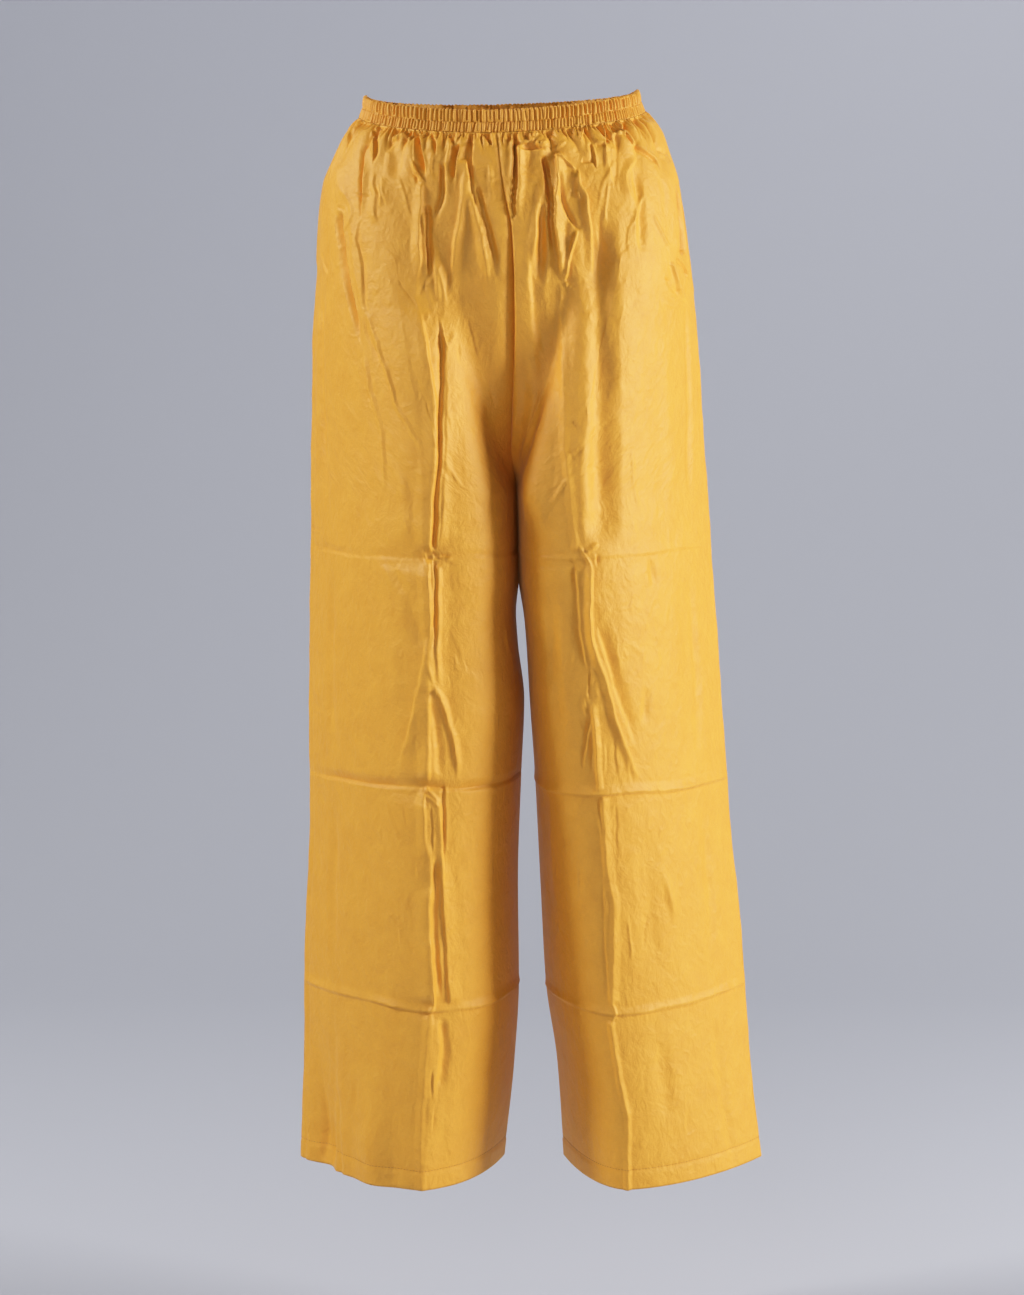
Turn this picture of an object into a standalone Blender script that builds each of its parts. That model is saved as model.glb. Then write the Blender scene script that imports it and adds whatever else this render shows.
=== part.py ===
"""Palazzo trousers in thin mustard rayon, in the hollow form that they have when worn.

Two front and two back panels, a ruched elastic waistband and the bags of two in-seam pockets. +Z is up,
the front faces -Y and +X is to the right of someone who looks at the front. The origin is the middle of
the waist, in the opening of the band. Sizes are in millimetres, and MM turns them to metres.

Every horizontal line of the garment has a level, its height at the side seams. The upper levels dip at
the front and tilt a little, up to the right. A panel's place across is a share, 0 at the side seam and 1
at the centre seam or the inseam, with the pressed crease at one half.
"""

import math
from collections import namedtuple

import bpy
import numpy as np

MM = 0.001

# Cloth
SEAM_GAP = 0.3
LEAST_MITRE = 0.4
CLOTH = 1.2
HEM_CLOTH = 2.0
HEM_WIDTH = 17.0
HEM_LEVEL = -950.0
CROTCH_LEVEL = -332.0
KNEE_PRESS_LEVEL = -590.0
CALF_PRESS_LEVEL = -785.0
PRESS_RISE = 1.5

# Waistband: a casing over elastic, gathered in two rows by a stitched channel line
BAND_TOP = 14.5
BAND_FOOT = -6.0
BAND_WALL = 2.4
RUCHES = 144
RUCHE_RISE = 0.9
RUCHE_UNEVEN = 0.25
RUCHE_TURN = 2.4
RUCHES_PER_INNER_STEP = 2

# Outline
OVAL_POWER = 2.2
SEAM_HANDLE = (0.22, 0.42)
CREASE_HANDLE = (0.62, 0.93)
SQUARE_SEAM_HANDLE = (0.0, 0.85)
SQUARE_CREASE_HANDLE = (0.12, 1.0)
HALF_STEPS = 60

# Gathers below the band
COLUMNS_PER_GATHER = 4
GATHER_AT_BAND = 0.35
GATHER_SWELL = 16.0

# Pockets
POCKET_MOUTH = 2.8
POCKET_MOUTH_TOP = -52.0
POCKET_MOUTH_FOOT = -172.0
POCKET_MOUTH_TAPER = 14.0
POCKET_BAG_DEPTH = 2.0
POCKET_BAG_WRAP = 0.035
POCKET_BAG_COLUMNS = 8
POCKET_BAG_CLEAR = 0.5

LEFT, RIGHT = -1, 1
FRONT, BACK = -1, 1
SIDE_NAMES = {LEFT: "left", RIGHT: "right"}
FACE_NAMES = {FRONT: "front", BACK: "back"}

MUSTARD = "#D9A548"
MUSTARD_SHADE = "#C6923A"
BAND_MUSTARD = "#D29C40"
CLOTH_ROUGHNESS = 0.55

# Side seams: x of the left and right one, their depth y, how far the front dips below the level, and how
# far the right side lies above it and the left side below it
Seams = namedtuple("Seams", "level left right depth dip tilt")
SEAMS = [
    Seams(14.5, -121.0, 120.5, 0.0, 26.5, 2.5),
    Seams(4.0, -122.5, 123.0, 0.0, 26.5, 2.5),
    Seams(-6.0, -127.0, 127.5, 0.0, 27.0, 2.5),
    Seams(-14.0, -134.0, 134.5, 0.0, 25.0, 2.5),
    Seams(-24.0, -140.5, 141.0, 0.0, 22.5, 2.4),
    Seams(-40.0, -148.5, 148.0, 0.0, 19.0, 2.2),
    Seams(-62.0, -156.5, 155.5, 0.0, 15.0, 1.8),
    Seams(-96.0, -161.5, 162.0, 1.0, 11.5, 1.1),
    Seams(-150.0, -165.0, 170.0, 3.0, 8.5, 0.3),
    Seams(-200.0, -169.0, 175.0, 5.0, 6.5, 0.0),
    Seams(-290.0, -171.5, 182.0, 9.0, 4.0, 0.0),
    Seams(-400.0, -173.5, 190.5, 12.0, 2.0, 0.0),
    Seams(-520.0, -176.0, 200.0, 14.0, 0.5, 0.0),
    Seams(-640.0, -176.5, 209.5, 15.0, 0.0, 0.0),
    Seams(-745.0, -182.0, 221.0, 16.0, 0.0, 0.0),
    Seams(-840.0, -183.5, 228.0, 15.0, 0.0, 0.0),
    Seams(-950.0, -187.0, 240.0, 10.0, 0.0, 0.0),
]

# Hips: depth y of the front and back centre of the body's oval, x of the centre seams, and the share of
# the leg tubes in the form: at the creases, and at the centre seams, which it draws in to the crotch
Hips = namedtuple("Hips", "level front back centre crease_share front_share back_share")
HIPS = [
    Hips(14.5, -91.0, 91.0, -4.0, 0.0, 0.0, 0.0),
    Hips(-6.0, -93.5, 94.5, -3.5, 0.0, 0.0, 0.0),
    Hips(-14.0, -96.5, 97.5, -3.0, 0.0, 0.0, 0.0),
    Hips(-28.0, -99.5, 101.0, -2.0, 0.0, 0.0, 0.0),
    Hips(-50.0, -102.0, 107.0, 0.0, 0.0, 0.0, 0.0),
    Hips(-75.0, -104.5, 114.0, 3.5, 0.05, 0.0, 0.0),
    Hips(-100.0, -106.5, 120.0, 7.5, 0.14, 0.01, 0.0),
    Hips(-150.0, -110.0, 127.0, 9.5, 0.37, 0.06, 0.0),
    Hips(-200.0, -112.5, 129.0, 11.0, 0.62, 0.16, 0.02),
    Hips(-240.0, -114.0, 128.0, 11.5, 0.79, 0.29, 0.09),
    Hips(-270.0, -114.5, 126.0, 12.0, 0.89, 0.44, 0.24),
    Hips(-298.0, -114.5, 124.0, 12.5, 0.955, 0.66, 0.48),
    Hips(-318.0, -114.5, 122.5, 13.0, 0.99, 0.87, 0.78),
    Hips(-332.0, -114.5, 121.5, 13.5, 1.0, 1.0, 1.0),
]

# Leg tubes: x of the inseams and of the creases, depth y of the front crease, the back crease and the
# inseams, and how squarely the front turns in from the crease to the inseam, 0 slanting to 1 boxy
Legs = namedtuple(
    "Legs",
    "level left_inseam right_inseam left_crease right_crease front back inseam left_square right_square",
)
LEGS = [
    Legs(-332.0, 13.5, 13.5, -65.0, 66.0, -115.0, 121.5, 12.0, 0.55, 0.85),
    Legs(-400.0, 13.8, 16.0, -64.5, 75.0, -113.5, 117.0, 12.0, 0.55, 0.9),
    Legs(-434.0, 12.5, 18.7, -64.0, 78.0, -112.0, 115.0, 12.0, 0.5, 0.85),
    Legs(-470.0, 14.5, 21.8, -63.5, 80.0, -110.0, 113.0, 12.0, 0.4, 0.75),
    Legs(-524.0, 20.5, 25.0, -63.0, 82.5, -107.0, 110.0, 13.0, 0.25, 0.65),
    Legs(-590.0, 18.0, 29.5, -63.0, 86.0, -103.0, 107.0, 14.0, 0.15, 0.5),
    Legs(-690.0, 15.0, 34.5, -62.5, 91.0, -95.5, 102.0, 16.0, 0.0, 0.3),
    Legs(-785.0, 16.0, 39.5, -62.0, 96.0, -88.0, 98.0, 17.0, 0.0, 0.1),
    Legs(-859.0, 12.0, 50.0, -64.0, 103.0, -85.5, 96.0, 17.5, 0.0, 0.1),
    Legs(-950.0, 2.5, 56.5, -70.0, 110.0, -84.0, 93.0, 18.0, 0.0, 0.1),
]

# Gathers of each panel, from the side seam to the centre: the first half lies outside the crease. Width
# is a share among its half, rise is how far the fold stands out, and length is how far down it runs
Gather = namedtuple("Gather", "width rise length")
FRONT_LEFT_GATHERS = [
    Gather(1.3, 2.0, 90.0),
    Gather(1.0, 3.0, 130.0),
    Gather(1.0, 3.5, 160.0),
    Gather(0.8, 4.0, 230.0),
    Gather(0.9, 4.5, 250.0),
    Gather(1.0, 4.0, 190.0),
    Gather(0.8, 5.0, 230.0),
    Gather(1.0, 3.0, 120.0),
]
FRONT_RIGHT_GATHERS = [
    Gather(1.3, 2.0, 80.0),
    Gather(1.0, 3.0, 110.0),
    Gather(0.9, 3.5, 130.0),
    Gather(0.9, 4.0, 180.0),
    Gather(1.0, 4.5, 240.0),
    Gather(0.9, 4.0, 210.0),
    Gather(0.8, 4.5, 250.0),
    Gather(1.0, 3.0, 120.0),
]
BACK_GATHERS = [
    Gather(1.2, 2.5, 110.0),
    Gather(1.0, 3.5, 150.0),
    Gather(0.9, 4.0, 200.0),
    Gather(0.9, 4.5, 240.0),
    Gather(1.0, 4.0, 180.0),
    Gather(1.1, 3.0, 130.0),
]

# Long folds of each panel: the shares where it starts and ends, the levels there, half its width as a share,
# and how far it stands out, or lies in where that is below nothing
Fold = namedtuple("Fold", "top_share foot_share top foot half_width rise")
FRONT_LEFT_FOLDS = [
    Fold(0.19, 0.33, -80.0, -350.0, 0.06, 2.0),
    Fold(0.47, 0.56, -140.0, -390.0, 0.05, 2.5),
    Fold(0.56, 0.60, -150.0, -410.0, 0.05, -3.0),
    Fold(0.37, 0.50, -390.0, -500.0, 0.06, -2.0),
    Fold(0.60, 0.60, -400.0, -560.0, 0.05, 1.5),
    Fold(0.53, 0.55, -620.0, -800.0, 0.05, -2.5),
    Fold(0.12, 0.14, -840.0, -960.0, 0.06, -1.5),
]
FRONT_RIGHT_FOLDS = [
    Fold(0.07, 0.06, -60.0, -250.0, 0.06, 1.5),
    Fold(0.80, 0.70, -70.0, -310.0, 0.06, -3.0),
    Fold(0.40, 0.40, -200.0, -400.0, 0.09, -5.0),
    Fold(0.47, 0.48, -150.0, -390.0, 0.04, 1.5),
    Fold(0.46, 0.29, -385.0, -600.0, 0.05, 2.5),
    Fold(0.40, 0.23, -440.0, -600.0, 0.05, -2.0),
    Fold(0.28, 0.24, -640.0, -760.0, 0.06, 1.5),
]
BACK_FOLDS = [
    Fold(0.25, 0.31, -90.0, -340.0, 0.07, -4.0),
    Fold(0.62, 0.56, -150.0, -430.0, 0.07, -3.5),
    Fold(0.40, 0.44, -400.0, -640.0, 0.07, -2.5),
    Fold(0.29, 0.36, -620.0, -900.0, 0.07, -2.0),
]

PANEL_LEVELS = [
    BAND_FOOT - SEAM_GAP,
    -13.0,
    -21.0,
    -31.0,
    -45.0,
    -65.0,
    -90.0,
    -120.0,
    -155.0,
    -195.0,
    -235.0,
    -270.0,
    -298.0,
    -318.0,
    CROTCH_LEVEL,
    -365.0,
    -415.0,
    -470.0,
    -530.0,
    KNEE_PRESS_LEVEL,
    -650.0,
    -715.0,
    CALF_PRESS_LEVEL,
    -870.0,
    HEM_LEVEL + HEM_WIDTH + 1.5,
    HEM_LEVEL + HEM_WIDTH - 1.5,
    HEM_LEVEL,
]

# Pocket bags: how far the bag reaches across the front panel at each level, as a share
BagLine = namedtuple("BagLine", "level reach")
POCKET_BAG = [
    BagLine(-45.0, 0.28),
    BagLine(-65.0, 0.36),
    BagLine(-90.0, 0.41),
    BagLine(-120.0, 0.44),
    BagLine(-155.0, 0.45),
    BagLine(-195.0, 0.42),
    BagLine(-235.0, 0.28),
]

# The band's lines, top to foot: share of its height, share of the ruches' rise, and how far it is drawn in
BandLine = namedtuple("BandLine", "height rise drawn")
BAND_LINES = [
    BandLine(0.0, 0.55, 0.2),
    BandLine(0.22, 1.0, 0.0),
    BandLine(0.52, 0.15, 0.7),
    BandLine(0.76, 0.8, 0.1),
    BandLine(1.0, 0.4, 0.4),
]


def smooth_step(value):
    """0 below 0 and 1 above 1, with a soft rise between."""
    held = min(max(value, 0.0), 1.0)
    return held * held * (3.0 - 2.0 * held)


def unit(vectors):
    """Vectors of length 1."""
    return vectors / np.linalg.norm(vectors, axis=-1, keepdims=True)


def column(table, name, level):
    """A column's value at a level, on a smooth curve through the rows that never overshoots them."""
    levels = np.array([row.level for row in table])[::-1]
    values = np.array([getattr(row, name) for row in table])[::-1]
    slopes = np.diff(values) / np.diff(levels)
    product = slopes[:-1] * slopes[1:]
    rising = product > 0.0
    total = np.where(rising, slopes[:-1] + slopes[1:], 1.0)
    tangents = np.concatenate(([slopes[0]], np.where(rising, 2.0 * product / total, 0.0), [slopes[-1]]))
    below = int(np.clip(np.searchsorted(levels, level) - 1, 0, len(levels) - 2))
    height = levels[below + 1] - levels[below]
    t = min(max((level - levels[below]) / height, 0.0), 1.0)
    start = values[below] * (1.0 + 2.0 * t) * (1.0 - t) ** 2 + tangents[below] * height * t * (1.0 - t) ** 2
    end = values[below + 1] * (3.0 - 2.0 * t) * t**2 + tangents[below + 1] * height * (t - 1.0) * t**2
    return float(start + end)


def even(points, count):
    """The same line with evenly spaced points."""
    steps = np.linalg.norm(np.diff(points, axis=0), axis=1)
    along = np.concatenate(([0.0], np.cumsum(steps)))
    places = np.linspace(0.0, along[-1], count)
    return np.stack([np.interp(places, along, points[:, axis]) for axis in range(points.shape[1])], axis=1)


def curve(start, end, start_handle, end_handle):
    """Bezier curve whose handles are shares of the way from start to end, in x and in y."""
    t = np.linspace(0.0, 1.0, HALF_STEPS + 1)[:, None]
    way = end - start
    first = start + way * start_handle
    second = start + way * end_handle
    return (1 - t) ** 3 * start + 3 * (1 - t) ** 2 * t * first + 3 * (1 - t) * t**2 * second + t**3 * end


def seam_point(side, level):
    """Place of a side seam at a level, seen from above."""
    return np.array([column(SEAMS, SIDE_NAMES[side], level), column(SEAMS, "depth", level)])


def body_line(side, face, level):
    """Quarter of the body's oval, from the side seam to the centre seam."""
    seam = seam_point(side, level)
    centre = np.array([column(HIPS, "centre", level), column(HIPS, FACE_NAMES[face], level)])
    turn = np.linspace(0.0, math.pi / 2, 2 * HALF_STEPS + 1)
    across = np.abs(np.cos(turn)) ** (2.0 / OVAL_POWER)
    along = np.abs(np.sin(turn)) ** (2.0 / OVAL_POWER)
    x = centre[0] + (seam[0] - centre[0]) * across
    y = seam[1] + (centre[1] - seam[1]) * along
    return even(np.stack([x, y], axis=1), 2 * HALF_STEPS + 1)


def leg_line(side, face, level):
    """Half of a leg's tube, from the side seam round the pressed crease to the inseam."""
    name = SIDE_NAMES[side]
    crease = np.array([column(LEGS, name + "_crease", level), column(LEGS, FACE_NAMES[face], level)])
    inseam_x = column(LEGS, name + "_inseam", level)
    if level > CROTCH_LEVEL:
        inseam_x = column(HIPS, "centre", level)
    inseam = np.array([inseam_x, column(LEGS, "inseam", level)])
    square = column(LEGS, name + "_square", level) if face == FRONT else 0.0
    seam_handle = np.array(SEAM_HANDLE) * (1 - square) + np.array(SQUARE_SEAM_HANDLE) * square
    crease_handle = np.array(CREASE_HANDLE) * (1 - square) + np.array(SQUARE_CREASE_HANDLE) * square
    outer = curve(seam_point(side, level), crease, np.array(SEAM_HANDLE), np.array(CREASE_HANDLE))
    inner = curve(inseam, crease, seam_handle, crease_handle)[::-1]
    return np.concatenate([even(outer, HALF_STEPS + 1), even(inner, HALF_STEPS + 1)[1:]])


def panel_line(side, face, level):
    """A panel's smooth line at a level, from the side seam to the centre seam or the inseam."""
    line = leg_line(side, face, level)
    if level > CROTCH_LEVEL:
        centre_share = column(HIPS, FACE_NAMES[face] + "_share", level)
        crease_share = column(HIPS, "crease_share", level)
        places = np.linspace(0.0, 1.0, len(line))
        towards_centre = np.array([smooth_step(2.0 * place - 1.0) for place in places])
        share = (crease_share + (centre_share - crease_share) * towards_centre)[:, None]
        line = (1.0 - share) * body_line(side, face, level) + share * line
    turn = np.linspace(0.0, math.pi / 2, len(line))
    dip = column(SEAMS, "dip", level) if face == FRONT else 0.0
    heights = level - dip * np.sin(turn) + side * column(SEAMS, "tilt", level) * np.cos(turn)
    return np.column_stack([line, heights])


def outward(line, turn):
    """Horizontal unit directions square to a line; turn is 1 where the line runs clockwise, else -1."""
    along = np.gradient(line[:, :2], axis=0)
    flat = unit(np.stack([-turn * along[:, 1], turn * along[:, 0]], axis=1))
    return np.column_stack([flat, np.zeros(len(line))])


def at_shares(line, shares):
    """Points of a line at the given shares of its way."""
    places = np.linspace(0.0, 1.0, len(line))
    return np.stack([np.interp(shares, places, line[:, axis]) for axis in range(3)], axis=1)


def gather_columns(gathers):
    """Shares of the panel's columns: four for each gather, from one hollow to the next."""
    half = len(gathers) // 2
    edges = [0.0]
    for part in (gathers[:half], gathers[half:]):
        whole = sum(gather.width for gather in part)
        for gather in part:
            edges.append(edges[-1] + 0.5 * gather.width / whole)
    steps = np.arange(len(gathers) * COLUMNS_PER_GATHER + 1) / COLUMNS_PER_GATHER
    return np.interp(steps, np.arange(len(edges)), edges)


def gather_rises(gathers, level):
    """How far each column stands out at a level: nothing in the hollows, the whole rise on the crest."""
    below = BAND_FOOT - level
    swell = GATHER_AT_BAND + (1.0 - GATHER_AT_BAND) * smooth_step(below / GATHER_SWELL)
    rises = []
    for index in range(len(gathers) * COLUMNS_PER_GATHER + 1):
        gather = gathers[min(index // COLUMNS_PER_GATHER, len(gathers) - 1)]
        crest = 0.5 - 0.5 * math.cos(2.0 * math.pi * index / COLUMNS_PER_GATHER)
        rises.append(gather.rise * crest * swell * (1.0 - smooth_step(below / gather.length)))
    return np.array(rises)


def fold_rises(folds, shares, level):
    """How far the long folds move each column out or in at a level."""
    rises = np.zeros(len(shares))
    for fold in folds:
        down = (fold.top - level) / (fold.top - fold.foot)
        if 0.0 < down < 1.0:
            middle = fold.top_share + (fold.foot_share - fold.top_share) * down
            near = np.clip(1.0 - np.abs(shares - middle) / fold.half_width, 0.0, 1.0)
            rises += fold.rise * math.sin(math.pi * down) * near * near * (3.0 - 2.0 * near)
    return rises


def press_rise(level):
    """The folded-flat press lines across the legs stand out a little."""
    return PRESS_RISE if level in (KNEE_PRESS_LEVEL, CALF_PRESS_LEVEL) else 0.0


def panel_points(side, face, gathers, folds):
    """Grid of the panel's outer points, a row for each level."""
    shares = gather_columns(gathers)
    within = np.sin(math.pi * shares)
    rows = []
    for level in PANEL_LEVELS:
        line = panel_line(side, face, level)
        way_out = at_shares(outward(line, -side * face), shares)
        rise = gather_rises(gathers, level) + fold_rises(folds, shares, level) + press_rise(level) * within
        rows.append(at_shares(line, shares) + way_out * rise[:, None])
    return np.array(rows)


def grid_normals(points, turn):
    """Outward unit normals of a grid of points."""
    return unit(turn * np.cross(np.gradient(points, axis=0), np.gradient(points, axis=1)))


def wall_thickness():
    """Thickness of the wall at each level: double in the turned-up hem."""
    return np.array([HEM_CLOTH if level < HEM_LEVEL + HEM_WIDTH else CLOTH for level in PANEL_LEVELS])


def join_normals(normals, reach, keys, row, place, kept=(1.0, 1.0, 1.0)):
    """Turns the walls that meet at a seam one common way, with each wall's depth mitred to it.

    A common way without its x or its y keeps the seam's edges in one upright plane.
    """
    own = [normals[key][row, place].copy() for key in keys]
    common = unit(sum(own) * np.array(kept))
    for key, one in zip(keys, own):
        normals[key][row, place] = common
        reach[key][row, place] = 1.0 / max(float(np.dot(common, one)), LEAST_MITRE)


def seam_shift(panels, normals, key, row, place):
    """Draws a panel back from a seam by half the gap, along its own cloth."""
    points = panels[key]
    inward = points[row, place + 1 if place == 0 else place - 1] - points[row, place]
    above = points[max(row - 1, 0), place]
    below = points[min(row + 1, len(points) - 1), place]
    away = unit(np.cross(below - above, normals[key][row, place]))
    if np.dot(away, inward) < 0.0:
        away = -away
    return away * SEAM_GAP / 2


def pocket_mouth(level):
    """How far the front edge stands back from the side seam along the pocket's mouth."""
    top = smooth_step((POCKET_MOUTH_TOP - level) / POCKET_MOUTH_TAPER)
    foot = smooth_step((level - POCKET_MOUTH_FOOT) / POCKET_MOUTH_TAPER)
    return POCKET_MOUTH * top * foot


def all_panels():
    """Outer and inner points of the four panels, with equal edges at every seam."""
    waves = {
        (LEFT, FRONT): (FRONT_LEFT_GATHERS, FRONT_LEFT_FOLDS),
        (RIGHT, FRONT): (FRONT_RIGHT_GATHERS, FRONT_RIGHT_FOLDS),
        (LEFT, BACK): (BACK_GATHERS, BACK_FOLDS),
        (RIGHT, BACK): (BACK_GATHERS, BACK_FOLDS),
    }
    panels = {key: panel_points(*key, *waves[key]) for key in waves}
    normals = {key: grid_normals(panels[key], key[0] * key[1]) for key in waves}
    reach = {key: np.ones(panels[key].shape[:2]) for key in waves}
    crotch = PANEL_LEVELS.index(CROTCH_LEVEL)
    last = -1
    for row in range(len(PANEL_LEVELS)):
        for side in (LEFT, RIGHT):
            join_normals(normals, reach, [(side, FRONT), (side, BACK)], row, 0)
        if row < crotch:
            for face in (FRONT, BACK):
                join_normals(normals, reach, [(LEFT, face), (RIGHT, face)], row, last, (0.0, 1.0, 1.0))
        elif row > crotch:
            for side in (LEFT, RIGHT):
                join_normals(normals, reach, [(side, FRONT), (side, BACK)], row, last, (1.0, 0.0, 1.0))
    for key in waves:
        normals[key][crotch, last] = (0.0, 0.0, -1.0)

    shifts = {key: np.zeros_like(panels[key]) for key in waves}
    for key in waves:
        side, face = key
        for row, level in enumerate(PANEL_LEVELS):
            shifts[key][row, 0] = seam_shift(panels, normals, key, row, 0)
            shifts[key][row, last] = seam_shift(panels, normals, key, row, last)
            if face == FRONT:
                shifts[key][row, 0] *= 1.0 + pocket_mouth(level) / (SEAM_GAP / 2)
        shifts[key][crotch, last] = np.array([side, face, 0.0]) * SEAM_GAP / 2

    walls = wall_thickness()[:, None, None]
    faces = {}
    for key in waves:
        outer = panels[key] + shifts[key]
        faces[key] = (outer, outer - normals[key] * reach[key][..., None] * walls)
    return faces


def new_object(name, vertices, faces, material):
    """A closed mesh object from points in millimetres, shaded smooth but for its edges."""
    mesh = bpy.data.meshes.new(name)
    mesh.from_pydata((np.array(vertices) * MM).tolist(), [], faces)
    mesh.update()
    mesh.shade_smooth()
    mesh.set_sharp_from_angle(angle=math.radians(50.0))
    mesh.materials.append(material)
    made = bpy.data.objects.new(name, mesh)
    bpy.context.collection.objects.link(made)
    return made


def wall_object(name, outer, inner, turn, material):
    """A cloth wall between two equal grids of points, closed round its edges."""
    rows, columns = outer.shape[:2]
    count = rows * columns
    vertices = np.concatenate([outer.reshape(-1, 3), inner.reshape(-1, 3)])

    def at(row, place, layer):
        return layer * count + row * columns + place

    faces = []
    for row in range(rows - 1):
        for place in range(columns - 1):
            for layer in (0, 1):
                quad = [
                    at(row, place, layer),
                    at(row + 1, place, layer),
                    at(row + 1, place + 1, layer),
                    at(row, place + 1, layer),
                ]
                faces.append(quad if layer == 0 else quad[::-1])
    for row in range(rows - 1):
        faces.append([at(row, 0, 0), at(row, 0, 1), at(row + 1, 0, 1), at(row + 1, 0, 0)])
        end = columns - 1
        faces.append([at(row + 1, end, 0), at(row + 1, end, 1), at(row, end, 1), at(row, end, 0)])
    for place in range(columns - 1):
        faces.append([at(0, place + 1, 0), at(0, place + 1, 1), at(0, place, 1), at(0, place, 0)])
        foot = rows - 1
        faces.append(
            [at(foot, place, 0), at(foot, place, 1), at(foot, place + 1, 1), at(foot, place + 1, 0)]
        )
    if turn < 0:
        faces = [face[::-1] for face in faces]
    return new_object(name, vertices, faces, material)


def pocket_bag(side, material):
    """Bag of an in-seam pocket, hanging flat behind the front panel and wrapped just past the seam."""
    outer = []
    inner = []
    for bag_line in POCKET_BAG:
        shares = np.linspace(-POCKET_BAG_WRAP, bag_line.reach, POCKET_BAG_COLUMNS)
        points = np.zeros((POCKET_BAG_COLUMNS, 3))
        ways = np.zeros((POCKET_BAG_COLUMNS, 3))
        for face in (FRONT, BACK):
            line = panel_line(side, face, bag_line.level)
            chosen = shares * -face >= 0.0
            points[chosen] = at_shares(line, np.abs(shares[chosen]))
            ways[chosen] = at_shares(outward(line, -side * face), np.abs(shares[chosen]))
        outer.append(points - ways * (CLOTH + POCKET_BAG_CLEAR))
        inner.append(points - ways * (CLOTH + POCKET_BAG_CLEAR + POCKET_BAG_DEPTH))
    name = "pocket_bag_" + SIDE_NAMES[side]
    return wall_object(name, np.array(outer), np.array(inner), -side, material)


def waist_ring(level, count):
    """The closed line of the waist at a level, from the left side round the front, evenly spaced."""
    quarters = [
        panel_line(LEFT, FRONT, level),
        panel_line(RIGHT, FRONT, level)[::-1],
        panel_line(RIGHT, BACK, level),
        panel_line(LEFT, BACK, level)[::-1],
    ]
    whole = np.concatenate([quarters[0]] + [quarter[1:] for quarter in quarters[1:]])
    return even(whole, count + 1)[:-1]


def ring_outward(ring):
    """Horizontal unit directions out of a closed ring of points."""
    along = np.roll(ring, -1, axis=0) - np.roll(ring, 1, axis=0)
    flat = unit(np.stack([along[:, 1], -along[:, 0]], axis=1))
    return np.column_stack([flat, np.zeros(len(ring))])


def waistband(material):
    """The ruched casing: upright waves raised in its outer points over a plain inside."""
    columns = 2 * RUCHES
    inner_columns = RUCHES // RUCHES_PER_INNER_STEP
    index = np.arange(columns)
    crest = (index % 2 == 0) * (1.0 - RUCHE_UNEVEN + RUCHE_UNEVEN * np.sin(RUCHE_TURN * index))
    vertices = []
    for line in BAND_LINES:
        ring = waist_ring(BAND_TOP + (BAND_FOOT - BAND_TOP) * line.height, columns)
        rise = RUCHE_RISE * line.rise * crest - line.drawn
        vertices.extend(ring + ring_outward(ring) * rise[:, None])
    for level in (BAND_TOP, BAND_FOOT):
        ring = waist_ring(level, inner_columns)
        vertices.extend(ring - ring_outward(ring) * BAND_WALL)

    faces = []
    lines = len(BAND_LINES)
    for row in range(lines - 1):
        for place in range(columns):
            following = (place + 1) % columns
            above = row * columns
            below = above + columns
            faces.append([above + place, below + place, below + following, above + following])
    inner_top = lines * columns
    inner_foot = inner_top + inner_columns
    for place in range(inner_columns):
        following = (place + 1) % inner_columns
        faces.append([inner_top + following, inner_foot + following, inner_foot + place, inner_top + place])
    step = columns // inner_columns
    for outer_start, inner_start, flip in ((0, inner_top, False), ((lines - 1) * columns, inner_foot, True)):
        for place in range(inner_columns):
            following = (place + 1) % inner_columns
            rim = [outer_start + (step * place + one) % columns for one in range(step + 1)]
            middle = step // 2
            fan = [[inner_start + place, rim[one], rim[one + 1]] for one in range(middle)]
            fan.append([inner_start + place, rim[middle], inner_start + following])
            fan += [[inner_start + following, rim[one], rim[one + 1]] for one in range(middle, step)]
            faces.extend([face[::-1] if flip else face for face in fan])
    return new_object("waistband", vertices, faces, material)


def linear(code):
    """Linear colour of an sRGB hex value."""
    parts = [int(code[place : place + 2], 16) / 255.0 for place in (1, 3, 5)]
    return [part / 12.92 if part <= 0.04045 else ((part + 0.055) / 1.055) ** 2.4 for part in parts] + [1.0]


def cloth_material(name, code):
    """Soft, slightly lustrous woven rayon."""
    made = bpy.data.materials.new(name)
    made.use_nodes = True
    shader = made.node_tree.nodes["Principled BSDF"]
    shader.inputs["Base Color"].default_value = linear(code)
    shader.inputs["Roughness"].default_value = CLOTH_ROUGHNESS
    shader.inputs["Metallic"].default_value = 0.0
    made.diffuse_color = linear(code)
    return made


def main():
    for old in list(bpy.data.objects):
        bpy.data.objects.remove(old, do_unlink=True)
    for (side, face), (outer, inner) in all_panels().items():
        name = FACE_NAMES[face] + "_" + SIDE_NAMES[side]
        wall_object(name, outer, inner, side * face, cloth_material("rayon_" + name, MUSTARD))
    for side in (LEFT, RIGHT):
        pocket_bag(side, cloth_material("rayon_pocket_" + SIDE_NAMES[side], MUSTARD_SHADE))
    waistband(cloth_material("rayon_waistband", BAND_MUSTARD))


main()
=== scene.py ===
"""Palazzo trousers in mustard woven rayon, in the hollow form that they have when worn.

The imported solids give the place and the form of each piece. Every cloth piece is replaced here by a thin
shell on the same form, worked out from the same sizes, with its folds laid on it. Sizes are in millimetres
and MM turns them to metres. +Z is up, the front faces -Y, +X is to the right of who looks at the front.
"""

import math
from collections import namedtuple

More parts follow.
